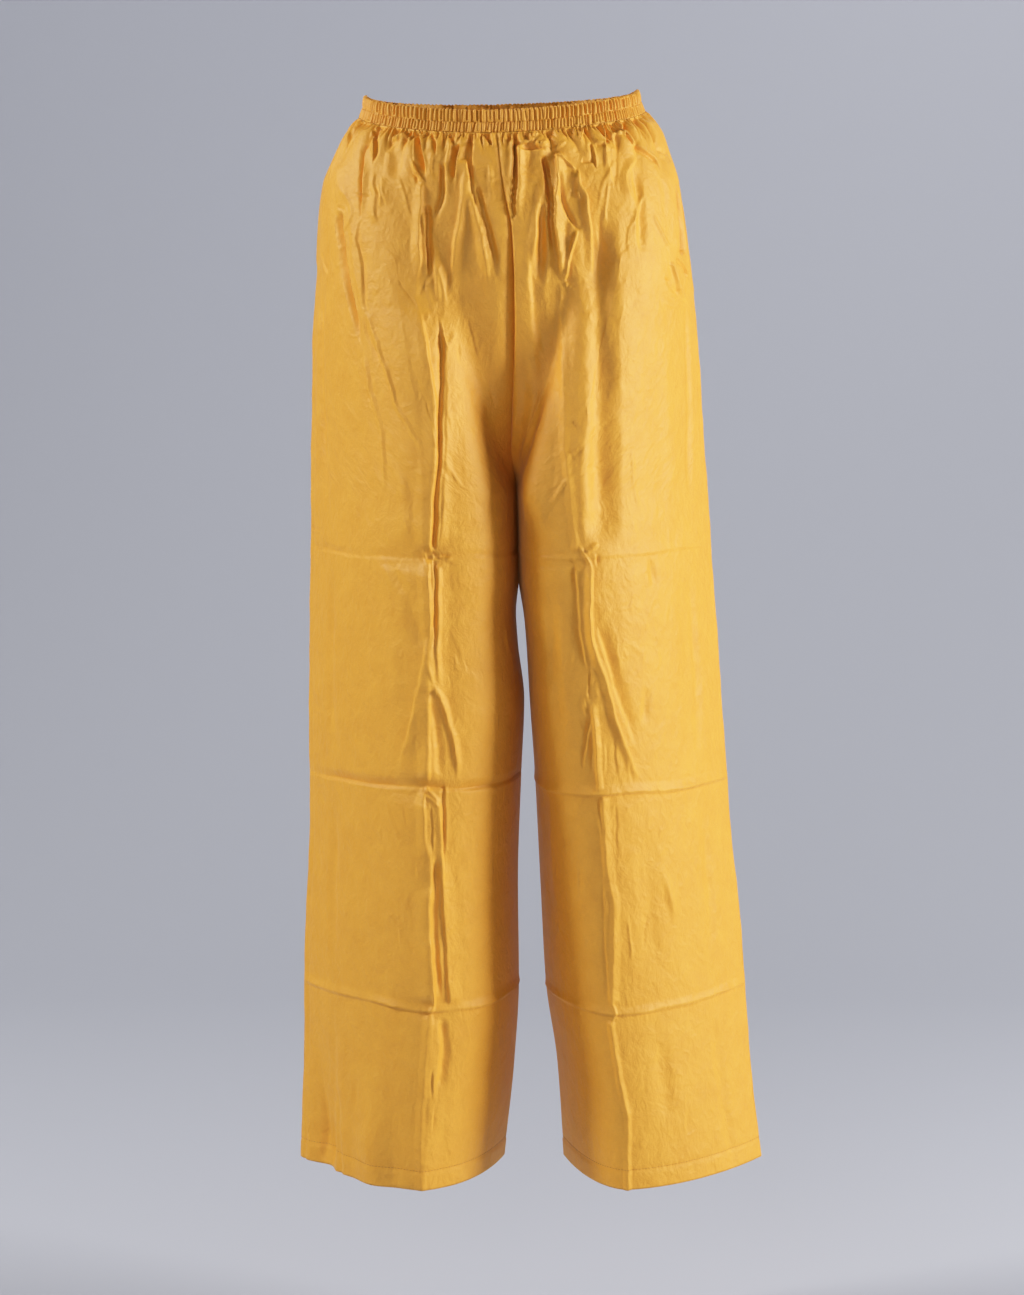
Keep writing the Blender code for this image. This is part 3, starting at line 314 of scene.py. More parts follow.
RIGHT_FOLDS = [
    # the foot of the pocket's mouth
    Fold(1.6, 1.4, 3.0, 0.5, 0.1, 0.3, 1, [(145, -136), (151, -152), (158, -170)]),
    Fold(-1.8, 1.6, 2.4, 0.4, 0.2, 0.3, 1, [(139, -150), (148, -161), (157, -164)]),
    Fold(1.2, 1.4, 3.0, 0.5, 0.2, 0.3, 1, [(136, -168), (147, -173), (160, -172)]),
    # hip, below the band
    Fold(-5.5, 1.7, 1.7, 0.4, 0.04, 0.2, 1, [(11, -35), (10, -68), (9, -101), (8, -111)]),
    Fold(-2.0, 2.0, 2.0, 0.3, 0.3, 0.5, 1, [(8, -108), (5, -122)]),
    Fold(-1.6, 1.5, 1.5, 0.4, 0.3, 0.4, 1, [(8, -108), (12, -122)]),
    Fold(2.6, 1.5, 7.0, 0.4, 0.05, 0.4, 1, [(13, -41), (14, -68), (11, -108)]),
    Fold(1.6, 1.3, 3.0, 0.5, 0.2, 0.2, 1, [(17, -40), (26, -38), (31, -30)]),
    Fold(1.8, 1.2, 3.0, 0.5, 0.2, 0.2, 1, [(28, -38), (32, -43), (39, -38)]),
    Fold(-1.8, 3.0, 3.0, 0.1, 0.3, 0.3, 1, [(14, -45), (38, -45)]),
    Fold(0.9, 1.2, 2.0, 0.5, 0.2, 0.3, 1, [(43, -45), (55, -38)]),
    Fold(-4.4, 5.0, 1.6, 0.4, 0.05, 0.35, 1, [(37, -50), (40, -68), (43, -89), (43, -107), (45, -135)]),
    Fold(1.6, 6.0, 4.0, 0.2, 0.2, 0.4, 1.2, [(37, -62), (31, -98), (26, -133), (21, -172)]),
    Fold(-2.8, 6.0, 5.0, 0.0, 0.2, 0.4, 1, [(34, -86), (34, -129), (33, -165)]),
    Fold(3.2, 1.7, 9.0, 0.5, 0.05, 0.15, 1,
         [(46, -47), (47, -62), (45, -81), (45, -107), (48, -133), (51, -156)]),
    Fold(1.3, 2.0, 1.3, 0.6, 0.2, 0.3, 1, [(46, -47), (59, -59), (64, -63)]),
    Fold(-1.5, 1.6, 4.0, 0.6, 0.15, 0.3, 1, [(47, -60), (51, -86), (57, -102), (65, -111), (70, -103)]),
    Fold(1.7, 4.0, 1.5, 0.5, 0.15, 0.15, 1, [(65, -112), (58, -133), (53, -156)]),
    Fold(1.0, 1.2, 2.0, 0.6, 0.2, 0.3, 1, [(53, -155), (64, -166)]),
    Fold(2.5, 7.0, 1.7, 0.5, 0.08, 0.4, 1,
         [(64, -60), (65, -73), (71, -83), (73, -97), (76, -121), (77, -156)]),
    Fold(1.1, 1.5, 1.5, 0.6, 0.3, 0.3, 1, [(62, -79), (66, -87)]),
    Fold(-1.4, 1.3, 2.6, 0.4, 0.2, 0.3, 1, [(67, -56), (80, -54)]),
    Fold(-1.2, 1.2, 2.4, 0.4, 0.2, 0.3, 1, [(79, -39), (89, -39)]),
    Fold(1.2, 1.3, 2.4, 0.5, 0.2, 0.2, 1, [(66, -38), (69, -28), (74, -25)]),
    Fold(-1.8, 1.3, 1.6, 0.5, 0.1, 0.4, 1, [(76, -38), (81, -62)]),
    Fold(-1.8, 1.4, 1.4, 0.5, 0.1, 0.4, 1, [(87, -24), (90, -31), (87, -42)]),
    Fold(1.7, 1.4, 3.0, 0.5, 0.2, 0.2, 1, [(92, -31), (104, -29), (115, -38)]),
    Fold(-2.1, 1.4, 1.7, 0.5, 0.05, 0.3, 1, [(102, -17), (106, -32), (115, -40)]),
    Fold(-1.9, 1.6, 3.0, 0.5, 0.1, 0.4, 1, [(114, -37), (125, -44), (133, -50), (138, -60)]),
    Fold(-1.2, 1.2, 1.6, 0.5, 0.2, 0.4, 1, [(134, -39), (145, -45)]),
    Fold(1.7, 12, 1.4, 0.3, 0.1, 0.15, 1, [(146, -43), (149, -76), (152, -102), (153, -132)]),
    Fold(-4.0, 1.6, 7.0, 0.1, 0.25, 0.1, 1.3, [(150, -55), (153, -92), (157, -130)]),
    Fold(-1.8, 1.3, 1.6, 0.4, 0.1, 0.3, 1, [(152, -132), (161, -140), (164, -149)]),
    Fold(-1.0, 1.3, 1.3, 0.5, 0.2, 0.3, 1, [(160, -140), (161, -156), (157, -165)]),
    Fold(-0.9, 1.2, 1.2, 0.5, 0.2, 0.3, 1, [(157, -156), (158, -166), (165, -170)]),
    Fold(0.7, 2.0, 2.0, 0.4, 0.3, 0.3, 1, [(128, -94), (147, -130)]),
    Fold(-1.6, 6.0, 6.0, 0.0, 0.3, 0.4, 1, [(112, -50), (118, -90), (120, -140)]),
    # thigh
    Fold(3.2, 8.0, 22, 0.2, 0.35, 0.3, 1, [(17, -225), (16, -290), (16, -350)]),
    Fold(-1.8, 4.0, 10, 0.2, 0.2, 0.3, 1, [(24, -118), (27, -160), (30, -206)]),
    Fold(5.5, 11, 18, 0.0, 0.35, 0.2, 1, [(31, -190), (31, -250), (28, -310), (25, -372)]),
    Fold(-6.2, 20, 18, 0.0, 0.1, 0.1, 1, [(82, -96), (84, -180), (85, -250), (86, -320), (87, -382)]),
    Fold(1.0, 8.0, 10.0, 0.0, 0.2, 0.2, 1, [(73, -165), (74, -255), (73, -322), (71, -378)]),
    Fold(1.2, 5.0, 5.0, 1.0, 0.05, 0.02, 1,
         [(51, -153), (50, -173), (52, -206), (53, -260), (54, -300), (59, -340), (63, -384)]),
    Fold(-1.5, 8.0, 9.0, 0.0, 0.2, 0.4, 1, [(33, -172), (33, -215), (32, -250), (30, -300)]),
    Fold(-0.9, 1.2, 1.6, 0.6, 0.2, 0.3, 1, [(60, -272), (66, -279)]),
    Fold(1.5, 1.2, 2.2, 0.7, 0.1, 0.3, 1, [(54, -303), (60, -299), (67, -292)]),
    Fold(1.4, 1.8, 1.2, 0.8, 0.1, 0.3, 1, [(55, -322), (46, -337), (30, -359)]),
    Fold(0.9, 1.2, 1.6, 0.7, 0.2, 0.3, 1, [(112, -293), (113, -327), (122, -356)]),
    Fold(-0.6, 1.2, 1.3, 0.6, 0.2, 0.3, 1, [(111, -233), (121, -219)]),
    Fold(1.2, 10, 12, 0.0, 0.3, 0.3, 1, [(138, -190), (146, -290), (150, -370)]),
    Fold(-1.0, 1.2, 2.4, 0.4, 0.2, 0.3, 1, [(18, -386), (41, -384), (63, -385)]),
    # from the first press line to the second
    Fold(1.7, 1.6, 2.0, 0.7, 0.2, 0.2, 1, [(65, -377), (70, -384), (76, -395)]),
    Fold(1.8, 1.6, 2.2, 0.7, 0.2, 0.2, 1, [(71, -384), (78, -379), (83, -376)]),
    Fold(-2.0, 1.8, 1.8, 0.4, 0.3, 0.4, 1, [(80, -384), (81, -395)]),
    Fold(-1.2, 1.2, 1.4, 0.5, 0.2, 0.3, 1, [(59, -388), (64, -394)]),
    Fold(-0.7, 1.4, 1.6, 0.4, 0.2, 0.2, 1, [(22, -398), (63, -396)]),
    Fold(3.6, 6.0, 2.4, 0.5, 0.05, 0.12, 1,
         [(75, -391), (76, -422), (76, -450), (80, -469), (87, -487),
          (96, -523), (105, -549), (114, -572), (119, -584)]),
    Fold(-2.2, 2.6, 9, 0.0, 0.2, 0.3, 1.2, [(81, -440), (90, -470), (99, -502), (108, -526), (118, -556)]),
    Fold(-1.9, 3.0, 1.5, 0.5, 0.05, 0.3, 1, [(63, -393), (65, -429), (68, -458), (72, -479), (75, -493)]),
    Fold(-1.8, 1.3, 1.5, 0.5, 0.2, 0.3, 1, [(75, -483), (73, -505), (71, -510)]),
    Fold(1.3, 1.4, 2.2, 0.6, 0.1, 0.3, 1, [(70, -510), (74, -505), (85, -503)]),
    Fold(0.9, 1.5, 1.8, 0.6, 0.2, 0.3, 1, [(71, -509), (72, -521), (78, -526)]),
    Fold(1.3, 1.1, 1.6, 0.6, 0.2, 0.3, 1, [(82, -482), (78, -487), (76, -501)]),
    Fold(0.9, 1.1, 1.4, 0.6, 0.2, 0.3, 1, [(76, -466), (81, -471)]),
    Fold(-3.4, 1.9, 3.0, 0.2, 0.1, 0.5, 0.5, [(77, -524), (73, -548), (68, -580)]),
    Fold(2.4, 2.0, 5.0, 0.5, 0.08, 0.05, 1, [(78, -512), (80, -537), (82, -566), (84, -590)]),
    Fold(-1.5, 1.8, 1.6, 0.3, 0.2, 0.3, 1, [(78, -535), (78, -575)]),
    Fold(-0.9, 2.0, 2.4, 0.2, 0.2, 0.4, 1, [(89, -548), (90, -578)]),
    Fold(-0.9, 2.2, 3.2, 0.2, 0.3, 0.4, 1.2, [(97, -541), (101, -584)]),
    Fold(-0.8, 2.0, 3.0, 0.1, 0.3, 0.4, 1.2, [(108, -560), (113, -586)]),
    Fold(0.6, 1.0, 1.0, 0.6, 0.2, 0.3, 1, [(99, -454), (99, -470), (101, -482)]),
    Fold(-1.4, 5.0, 4.0, 0.1, 0.3, 0.3, 1, [(129, -390), (133, -417)]),
    Fold(0.8, 2.0, 2.0, 0.3, 0.3, 0.3, 1, [(109, -462), (127, -476)]),
    Fold(-1.4, 6.0, 5.0, 0.1, 0.3, 0.3, 1, [(127, -500), (123, -534)]),
    Fold(-1.2, 12, 12, 0.0, 0.3, 0.3, 1, [(160, -400), (166, -500), (172, -580)]),
    Fold(-1.4, 8.0, 8.0, 0.0, 0.3, 0.3, 1, [(40, -400), (45, -480), (52, -560)]),
    # from the second press line to the third
    Fold(1.9, 4.0, 7.0, 0.8, 0.02, 0.02, 1,
         [(87, -594), (88, -620), (90, -647), (94, -675), (97, -696), (97, -730), (97, -782)]),
    Fold(-1.4, 1.2, 1.5, 0.6, 0.1, 0.3, 1, [(83, -596), (85, -616), (88, -635)]),
    Fold(-0.8, 2.0, 3.0, 0.2, 0.1, 0.4, 1, [(99, -602), (100, -625), (101, -655)]),
    Fold(-1.0, 1.2, 1.4, 0.5, 0.3, 0.3, 1, [(98, -677), (104, -686)]),
    Fold(-1.0, 2.0, 1.6, 0.4, 0.2, 0.2, 1, [(88, -661), (90, -716), (92, -751), (94, -783)]),
    Fold(1.0, 1.1, 1.7, 0.7, 0.2, 0.3, 1, [(109, -700), (111, -717), (115, -747)]),
    Fold(-0.9, 1.1, 1.3, 0.6, 0.2, 0.3, 1, [(129, -702), (125, -736)]),
    Fold(-0.9, 1.0, 1.0, 0.6, 0.2, 0.3, 1, [(67, -658), (68, -683)]),
    Fold(1.6, 3.0, 7.0, 0.1, 0.3, 0.3, 1, [(139, -662), (148, -692), (152, -714)]),
    Fold(0.6, 1.1, 1.3, 0.6, 0.3, 0.3, 1, [(130, -610), (125, -628)]),
    Fold(0.6, 1.1, 1.3, 0.6, 0.3, 0.3, 1, [(119, -640), (113, -650)]),
    Fold(-1.6, 4.0, 6.0, 0.1, 0.1, 0.3, 1, [(37, -596), (38, -651), (44, -720)]),
    Fold(-1.3, 14, 12, 0.0, 0.3, 0.3, 1, [(124, -620), (130, -700), (136, -775)]),
    # below the third press line
    Fold(2.2, 1.5, 2.6, 0.6, 0.2, 0.2, 1, [(94, -778), (99, -789), (95, -797)]),
    Fold(-1.5, 1.3, 1.8, 0.5, 0.2, 0.3, 1, [(100, -792), (106, -790)]),
    Fold(2.0, 4.0, 4.0, 1.0, 0.02, 0.02, 1, [(96, -796), (100, -830), (107, -865), (111, -894), (111, -953)]),
    Fold(-0.9, 1.1, 1.2, 0.6, 0.3, 0.3, 1, [(217, -884), (218, -898)]),
    Fold(-1.2, 3.0, 3.0, 0.2, 0.3, 0.3, 1, [(164, -888), (165, -909)]),
    Fold(-0.7, 1.2, 1.4, 0.6, 0.2, 0.3, 1, [(193, -912), (213, -924)]),
    Fold(-1.4, 12, 12, 0.0, 0.3, 0.3, 1, [(138, -810), (150, -900)]),
    Fold(-0.9, 1.1, 1.6, 0.5, 0.2, 0.2, 1, [(219, -760), (228, -859), (236, -930)]),
]

# Folds of the back panels, placed in the same view, through the cloth; they are as many and as uneven
BACK_LEFT_FOLDS = [
    Fold(-3.0, 1.8, 1.8, 0.4, 0.05, 0.4, 1, [(-18, -8), (-20, -40), (-17, -82)]),
    Fold(2.4, 1.8, 8.0, 0.4, 0.1, 0.4, 1, [(-22, -30), (-26, -80), (-24, -140)]),
    Fold(-3.4, 5.0, 2.0, 0.3, 0.05, 0.4, 1, [(-44, -9), (-47, -45), (-43, -100)]),
    Fold(2.8, 9.0, 2.0, 0.4, 0.1, 0.4, 1, [(-52, -20), (-55, -80), (-60, -150), (-61, -210)]),
    Fold(-2.2, 1.5, 1.7, 0.5, 0.1, 0.4, 1, [(-66, -9), (-69, -32), (-72, -60)]),
    Fold(-3.0, 6.0, 7.0, 0.0, 0.15, 0.4, 1.2, [(-80, -14), (-84, -50), (-86, -110)]),
    Fold(-2.6, 1.6, 2.0, 0.5, 0.1, 0.4, 1, [(-98, -12), (-104, -44), (-106, -90)]),
    Fold(1.6, 1.4, 4.0, 0.5, 0.3, 0.3, 1, [(-96, -24), (-86, -22), (-78, -27)]),
    Fold(-2.2, 1.6, 2.6, 0.4, 0.1, 0.5, 1, [(-118, -14), (-126, -50), (-132, -100)]),
    Fold(3.2, 14, 2.4, 0.3, 0.15, 0.2, 1, [(-62, -190), (-58, -270), (-61, -350), (-64, -384)]),
    Fold(-4.6, 8.0, 12, 0.0, 0.2, 0.3, 1.1, [(-96, -140), (-101, -240), (-98, -360)]),
    Fold(-3.0, 7.0, 7.0, 0.0, 0.3, 0.3, 1, [(-28, -150), (-30, -230), (-26, -310)]),
    Fold(-1.8, 12, 10, 0.0, 0.3, 0.3, 1, [(-130, -200), (-128, -300), (-134, -372)]),
    Fold(0.9, 1.2, 2.0, 0.8, 0.2, 0.3, 1, [(-120, -180), (-106, -220), (-92, -276)]),
    Fold(-0.8, 1.2, 1.4, 0.6, 0.2, 0.3, 1, [(-40, -262), (-34, -290)]),
    Fold(2.0, 1.6, 2.4, 0.7, 0.2, 0.2, 1, [(-70, -378), (-64, -386), (-58, -396)]),
    Fold(2.6, 8.0, 2.2, 0.5, 0.05, 0.2, 1, [(-63, -390), (-64, -450), (-72, -520), (-82, -580)]),
    Fold(-2.6, 3.0, 7.0, 0.1, 0.2, 0.3, 1.2, [(-58, -400), (-58, -460), (-64, -530)]),
    Fold(-2.0, 11, 11, 0.0, 0.3, 0.3, 1, [(-108, -410), (-104, -500), (-112, -575)]),
    Fold(0.8, 1.2, 1.6, 0.6, 0.2, 0.3, 1, [(-96, -430), (-88, -466), (-90, -490)]),
    Fold(2.0, 1.6, 2.2, 0.7, 0.2, 0.2, 1, [(-68, -582), (-62, -592), (-55, -602)]),
    Fold(-3.0, 3.0, 3.0, 0.2, 0.05, 0.3, 1, [(-57, -594), (-55, -650), (-58, -740)]),
    Fold(2.4, 12, 2.0, 0.4, 0.05, 0.1, 1, [(-63, -590), (-62, -680), (-63, -782)]),
    Fold(-1.8, 14, 12, 0.0, 0.3, 0.3, 1, [(-112, -610), (-108, -700), (-114, -775)]),
    Fold(-0.8, 1.2, 1.3, 0.6, 0.2, 0.3, 1, [(-92, -640), (-88, -668)]),
    Fold(1.6, 5.0, 5.0, 0.9, 0.02, 0.02, 1, [(-63, -788), (-66, -860), (-70, -952)]),
    Fold(-2.0, 8.0, 7.0, 0.0, 0.3, 0.1, 1, [(-112, -820), (-116, -952)]),
    Fold(-1.6, 6.0, 6.0, 0.0, 0.3, 0.1, 1, [(-40, -830), (-38, -952)]),
]
BACK_RIGHT_FOLDS = [
    Fold(-2.6, 1.7, 1.7, 0.4, 0.05, 0.4, 1, [(20, -7), (22, -36), (19, -70)]),
    Fold(2.2, 8.0, 1.8, 0.4, 0.1, 0.4, 1, [(28, -26), (33, -76), (31, -150)]),
    Fold(-3.6, 2.0, 5.0, 0.3, 0.05, 0.4, 1, [(50, -8), (54, -50), (52, -112)]),
    Fold(2.6, 2.0, 9.0, 0.4, 0.1, 0.4, 1, [(60, -20), (64, -84), (68, -150), (70, -220)]),
    Fold(-2.0, 1.5, 1.7, 0.5, 0.1, 0.4, 1, [(75, -9), (77, -36), (82, -66)]),
    Fold(-2.8, 6.0, 6.0, 0.0, 0.15, 0.4, 1.2, [(90, -12), (94, -56), (98, -120)]),
    Fold(-2.4, 1.6, 2.0, 0.5, 0.1, 0.4, 1, [(107, -12), (114, -40), (117, -84)]),
    Fold(1.5, 1.4, 4.0, 0.5, 0.3, 0.3, 1, [(82, -26), (92, -22), (102, -25)]),
    Fold(-2.0, 1.6, 2.4, 0.4, 0.1, 0.5, 1, [(124, -12), (131, -44), (138, -96)]),
    Fold(3.0, 2.4, 14, 0.3, 0.15, 0.2, 1, [(66, -190), (64, -270), (68, -350), (70, -384)]),
    Fold(-5.0, 12, 8.0, 0.0, 0.2, 0.3, 1.1, [(104, -150), (108, -250), (106, -365)]),
    Fold(-2.8, 7.0, 7.0, 0.0, 0.3, 0.3, 1, [(36, -170), (40, -250), (36, -330)]),
    Fold(-1.6, 12, 10, 0.0, 0.3, 0.3, 1, [(144, -210), (146, -300), (150, -372)]),
    Fold(0.9, 1.2, 2.0, 0.8, 0.2, 0.3, 1, [(128, -190), (116, -236), (98, -284)]),
    Fold(1.9, 1.6, 2.4, 0.7, 0.2, 0.2, 1, [(66, -378), (72, -386), (79, -395)]),
    Fold(3.0, 6.0, 2.4, 0.5, 0.05, 0.2, 1, [(75, -390), (78, -450), (90, -520), (104, -580)]),
    Fold(-2.6, 3.0, 9.0, 0.1, 0.2, 0.3, 1.2, [(82, -420), (92, -480), (106, -545)]),
    Fold(-1.8, 11, 11, 0.0, 0.3, 0.3, 1, [(142, -410), (146, -500), (150, -575)]),
    Fold(-0.8, 1.2, 1.4, 0.6, 0.2, 0.3, 1, [(54, -450), (50, -482)]),
    Fold(1.9, 1.6, 2.2, 0.7, 0.2, 0.2, 1, [(80, -584), (86, -592), (93, -600)]),
    Fold(-1.8, 3.0, 5.0, 0.2, 0.1, 0.3, 1, [(95, -600), (98, -660), (102, -730)]),
    Fold(1.8, 6.0, 6.0, 0.8, 0.02, 0.02, 1, [(86, -592), (90, -680), (96, -784)]),
    Fold(-1.7, 14, 12, 0.0, 0.3, 0.3, 1, [(144, -620), (150, -700), (156, -775)]),
    Fold(-0.8, 1.2, 1.3, 0.6, 0.2, 0.3, 1, [(122, -668), (118, -700)]),
    Fold(1.6, 5.0, 5.0, 0.9, 0.02, 0.02, 1, [(96, -788), (103, -860), (110, -952)]),
    Fold(-2.0, 8.0, 8.0, 0.0, 0.3, 0.1, 1, [(156, -820), (164, -952)]),
    Fold(-1.6, 6.0, 6.0, 0.0, 0.3, 0.1, 1, [(76, -830), (80, -952)]),
]

# Folds of the two sides, placed in the side view as depth and height
SIDE_FOLDS = [
    Fold(-2.2, 2.0, 3.0, 0.3, 0.05, 0.4, 1, [(-26, -12), (-30, -50), (-26, -110)]),
    Fold(-2.4, 3.0, 2.0, 0.3, 0.05, 0.4, 1, [(24, -8), (30, -60), (34, -130)]),
    Fold(1.8, 6.0, 3.0, 0.2, 0.1, 0.4, 1, [(40, -14), (48, -90), (50, -180)]),
    Fold(-2.0, 7.0, 7.0, 0.0, 0.2, 0.4, 1, [(-30, -150), (-22, -260), (-28, -370)]),
    Fold(-2.4, 8.0, 7.0, 0.0, 0.2, 0.4, 1, [(44, -160), (50, -270), (42, -372)]),
    Fold(-1.6, 8.0, 8.0, 0.0, 0.3, 0.4, 1, [(-34, -400), (-28, -500), (-34, -582)]),
    Fold(-1.8, 8.0, 8.0, 0.0, 0.3, 0.4, 1, [(46, -400), (52, -500), (44, -582)]),
    Fold(0.9, 1.3, 2.0, 0.7, 0.2, 0.3, 1, [(30, -420), (42, -470), (40, -520)]),
    Fold(-1.5, 8.0, 8.0, 0.0, 0.3, 0.4, 1, [(-30, -600), (-26, -700), (-30, -780)]),
    Fold(-1.7, 8.0, 8.0, 0.0, 0.3, 0.4, 1, [(48, -600), (50, -700), (46, -780)]),
    Fold(-1.5, 7.0, 7.0, 0.0, 0.3, 0.1, 1, [(-28, -800), (-24, -952)]),
    Fold(-1.7, 7.0, 7.0, 0.0, 0.3, 0.1, 1, [(46, -800), (50, -952)]),
]

# Lines across the legs where the trousers were pressed flat and folded: the cloth goes in softly above or
# below the line and comes back sharply. A rise above nothing is a ridge with its sharp side below.
Press = namedtuple("Press", "side level rise above below wave")
PRESSES = [
    Press(LEFT, -172.0, -0.4, 6.0, 2.2, 1.0),
    Press(RIGHT, -171.0, 0.45, 6.0, 2.2, 1.0),
    Press(LEFT, -386.0, -1.4, 7.0, 2.0, 1.4),
    Press(RIGHT, -385.0, 1.2, 7.0, 2.0, 1.6),
    Press(LEFT, -589.0, -4.0, 9.0, 1.6, 1.6),
    Press(RIGHT, -594.0, 3.8, 9.0, 1.6, 1.8),
    Press(LEFT, -786.0, 3.6, 8.0, 1.6, 1.5),
    Press(RIGHT, -789.0, 3.2, 7.0, 1.6, 1.5),
]

# Small creases at random places: how many, between which levels, and the least and most of each size
Creases = namedtuple("Creases", "count top foot length width rise lean seed")
CREASES = [
    Creases(14, -14.0, -80.0, (20.0, 60.0), (2.5, 6.0), (0.3, 0.8), 0.16, 3),
    Creases(10, -60.0, -150.0, (20.0, 60.0), (2.5, 7.0), (0.2, 0.5), 0.22, 4),
    Creases(46, -150.0, -370.0, (9.0, 40.0), (1.8, 6.0), (0.1, 0.3), 0.45, 5),
    Creases(60, -390.0, -575.0, (8.0, 34.0), (1.8, 6.0), (0.1, 0.36), 0.6, 6),
    Creases(44, -600.0, -770.0, (8.0, 30.0), (1.8, 6.0), (0.1, 0.3), 0.6, 7),
    Creases(34, -800.0, -930.0, (8.0, 30.0), (1.8, 6.0), (0.1, 0.26), 0.6, 8),
]

# Gathers under the band, in two sizes: how far apart their hollows are, how deep, how wide and how long,
# each between a least and a most, how much they lean, and the random seed
Tucks = namedtuple("Tucks", "pitch depth width length lean seed")
TUCKS = [
    Tucks((2.7, 5.6), (2.4, 5.4), (0.8, 1.35), (8.0, 30.0), 0.12, 31),
    Tucks((10.0, 20.0), (3.0, 5.6), (1.4, 2.4), (34.0, 85.0), 0.18, 47),
]
TUCK_PUFF = 2.2
TOP_HOLD = 0.5
TOP_FREE = 12.0

# The hollow between the two legs, above the crotch: its depth and how far it reaches on each side
Valley = namedtuple("Valley", "level depth left right")
VALLEY = [
    Valley(-6.0, 0.0, 8.0, 6.0),
    Valley(-60.0, 1.0, 9.0, 4.0),
    Valley(-100.0, 3.4, 12.0, 3.0),
    Valley(-140.0, 7.0, 16.0, 2.4),
    Valley(-185.0, 10.0, 20.0, 2.2),
    Valley(-230.0, 11.5, 24.0, 2.0),
    Valley(-280.0, 9.5, 26.0, 1.8),
    Valley(-318.0, 7.5, 24.0, 2.4),
    Valley(-352.0, 0.0, 18.0, 6.0),
]

VALLEY_POWER = 2.4
VALLEY_UNDER = 0.25
VALLEY_UNDER_REACH = {LEFT: 9.0, RIGHT: 1.0}

# Seams and hems
SEAM_LAP = 0.15
SEAM_LAP_REACH = 5.0
SEAM_ROLL = 1.0
SEAM_ROLL_WIDTH = 1.8
SEAM_CALM = 7.0
SEAM_WAVER = 0.3
SEAM_WAVER_REACH = 7.0
SEAM_PINCH = 1.3
SEAM_PINCH_PLACE = 9.0
SEAM_PINCH_WIDTH = 1.5
STITCH_DIP = 0.45
STITCH_DIP_WIDTH = 1.6
HEM_LIFT = 0.5

# Where the inner sides of the two legs lie against each other, below the crotch
LEGS_TOUCH = 2.4
LEGS_TOUCH_FOOT = -450.0
LEGS_TOUCH_FADE = 40.0
LEGS_TOUCH_REACH = 24.0

# Pocket mouths: the levels between which each stands open, over how far it opens and closes, how far its
# front edge is drawn back along the cloth (gape) and across the front view (shown), how far the back's edge
# is drawn back, and how far the front edge stands off. In the front view the right mouth still shows no bag.
MOUTH_TOP = -48.0
MOUTH_FOOT = {LEFT: -142.0, RIGHT: -168.0}
MOUTH_OPENING = {LEFT: 14.0, RIGHT: 60.0}
MOUTH_CLOSING = {LEFT: 14.0, RIGHT: 34.0}
MOUTH_GAPE = {LEFT: 2.6, RIGHT: 0.0}
MOUTH_SHOWN = {LEFT: 0.0, RIGHT: 4.2}
MOUTH_REACH = 7.0
MOUTH_BACK = {LEFT: 0.0, RIGHT: 3.0}
MOUTH_BACK_REACH = 16.0
MOUTH_LIFT = {LEFT: 0.8, RIGHT: 1.6}
MOUTH_LIFT_REACH = 7.0
MOUTH_CALM = 10.0

# Rows of stitches: how far apart they are, how long and how thick, and how far they stand on the cloth
Stitch = namedtuple("Stitch", "pitch length radius")
HEM_STITCH = Stitch(3.0, 2.3, 0.24)
CHANNEL_STITCH = Stitch(2.6, 1.9, 0.2)
STITCH_LIFT = 0.12

# Waistband: two rows of ruches on either side of a stitched channel line
RIM_LIFT = 0.7
RIM_SIDE_LIFT = -1.0
RIM_SCALLOP = 0.5
BAND_COLUMNS = 1560
BAND_ROWS = 42
BAND_INNER_STEP = 6
CHANNEL = 0.56
Ruches = namedtuple("Ruches", "start end least most shallow deep narrow wide lean seed")
RUCHE_ROWS = [
    Ruches(0.0, 0.56, 2.5, 4.7, 1.8, 4.4, 0.6, 1.05, 0.10, 11),
    Ruches(0.56, 1.0, 2.0, 3.5, 1.2, 3.4, 0.45, 0.8, 0.14, 23),
]

# Studio lamps, with places and sizes in metres and power in watts
Lamp = namedtuple("Lamp", "name place target size power")
LAMPS = [
    Lamp("soft_right", (2.55, -0.65, 0.15), (0.0, 0.0, -0.5), (0.8, 1.2), 90.0),
    Lamp("crisp_left", (-2.3, -0.45, 1.0), (0.0, 0.0, -0.45), (0.5, 0.7), 61.0),
    Lamp("front_left", (-0.6, -2.6, -0.05), (0.0, 0.0, -0.45), (1.0, 1.0), 17.0),
    Lamp("wall_right", (2.0, 1.9, 2.2), (0.2, 3.6, -0.4), (1.2, 1.2), 30.0),
    Lamp("wall_left", (-2.0, 1.9, 2.2), (-0.2, 3.6, -0.4), (1.2, 1.2), 12.0),
]
LAMP_COLOUR = "#FFFCF8"

# The picture's soft shoulder: brightness in the scene and in the picture
FILM_CURVE = [
    (0.12, 0.105), (0.25, 0.235), (0.5, 0.48), (0.75, 0.68), (1.0, 0.83), (1.25, 0.93), (1.5, 0.975),
]


def unit(vectors):
    """Vectors of length 1."""
    return vectors / np.maximum(np.linalg.norm(vectors, axis=-1, keepdims=True), 1e-9)


def smooth(value):
    """0 below 0 and 1 above 1, with a soft rise between."""
    held = np.clip(value, 0.0, 1.0)
    return held * held * (3.0 - 2.0 * held)


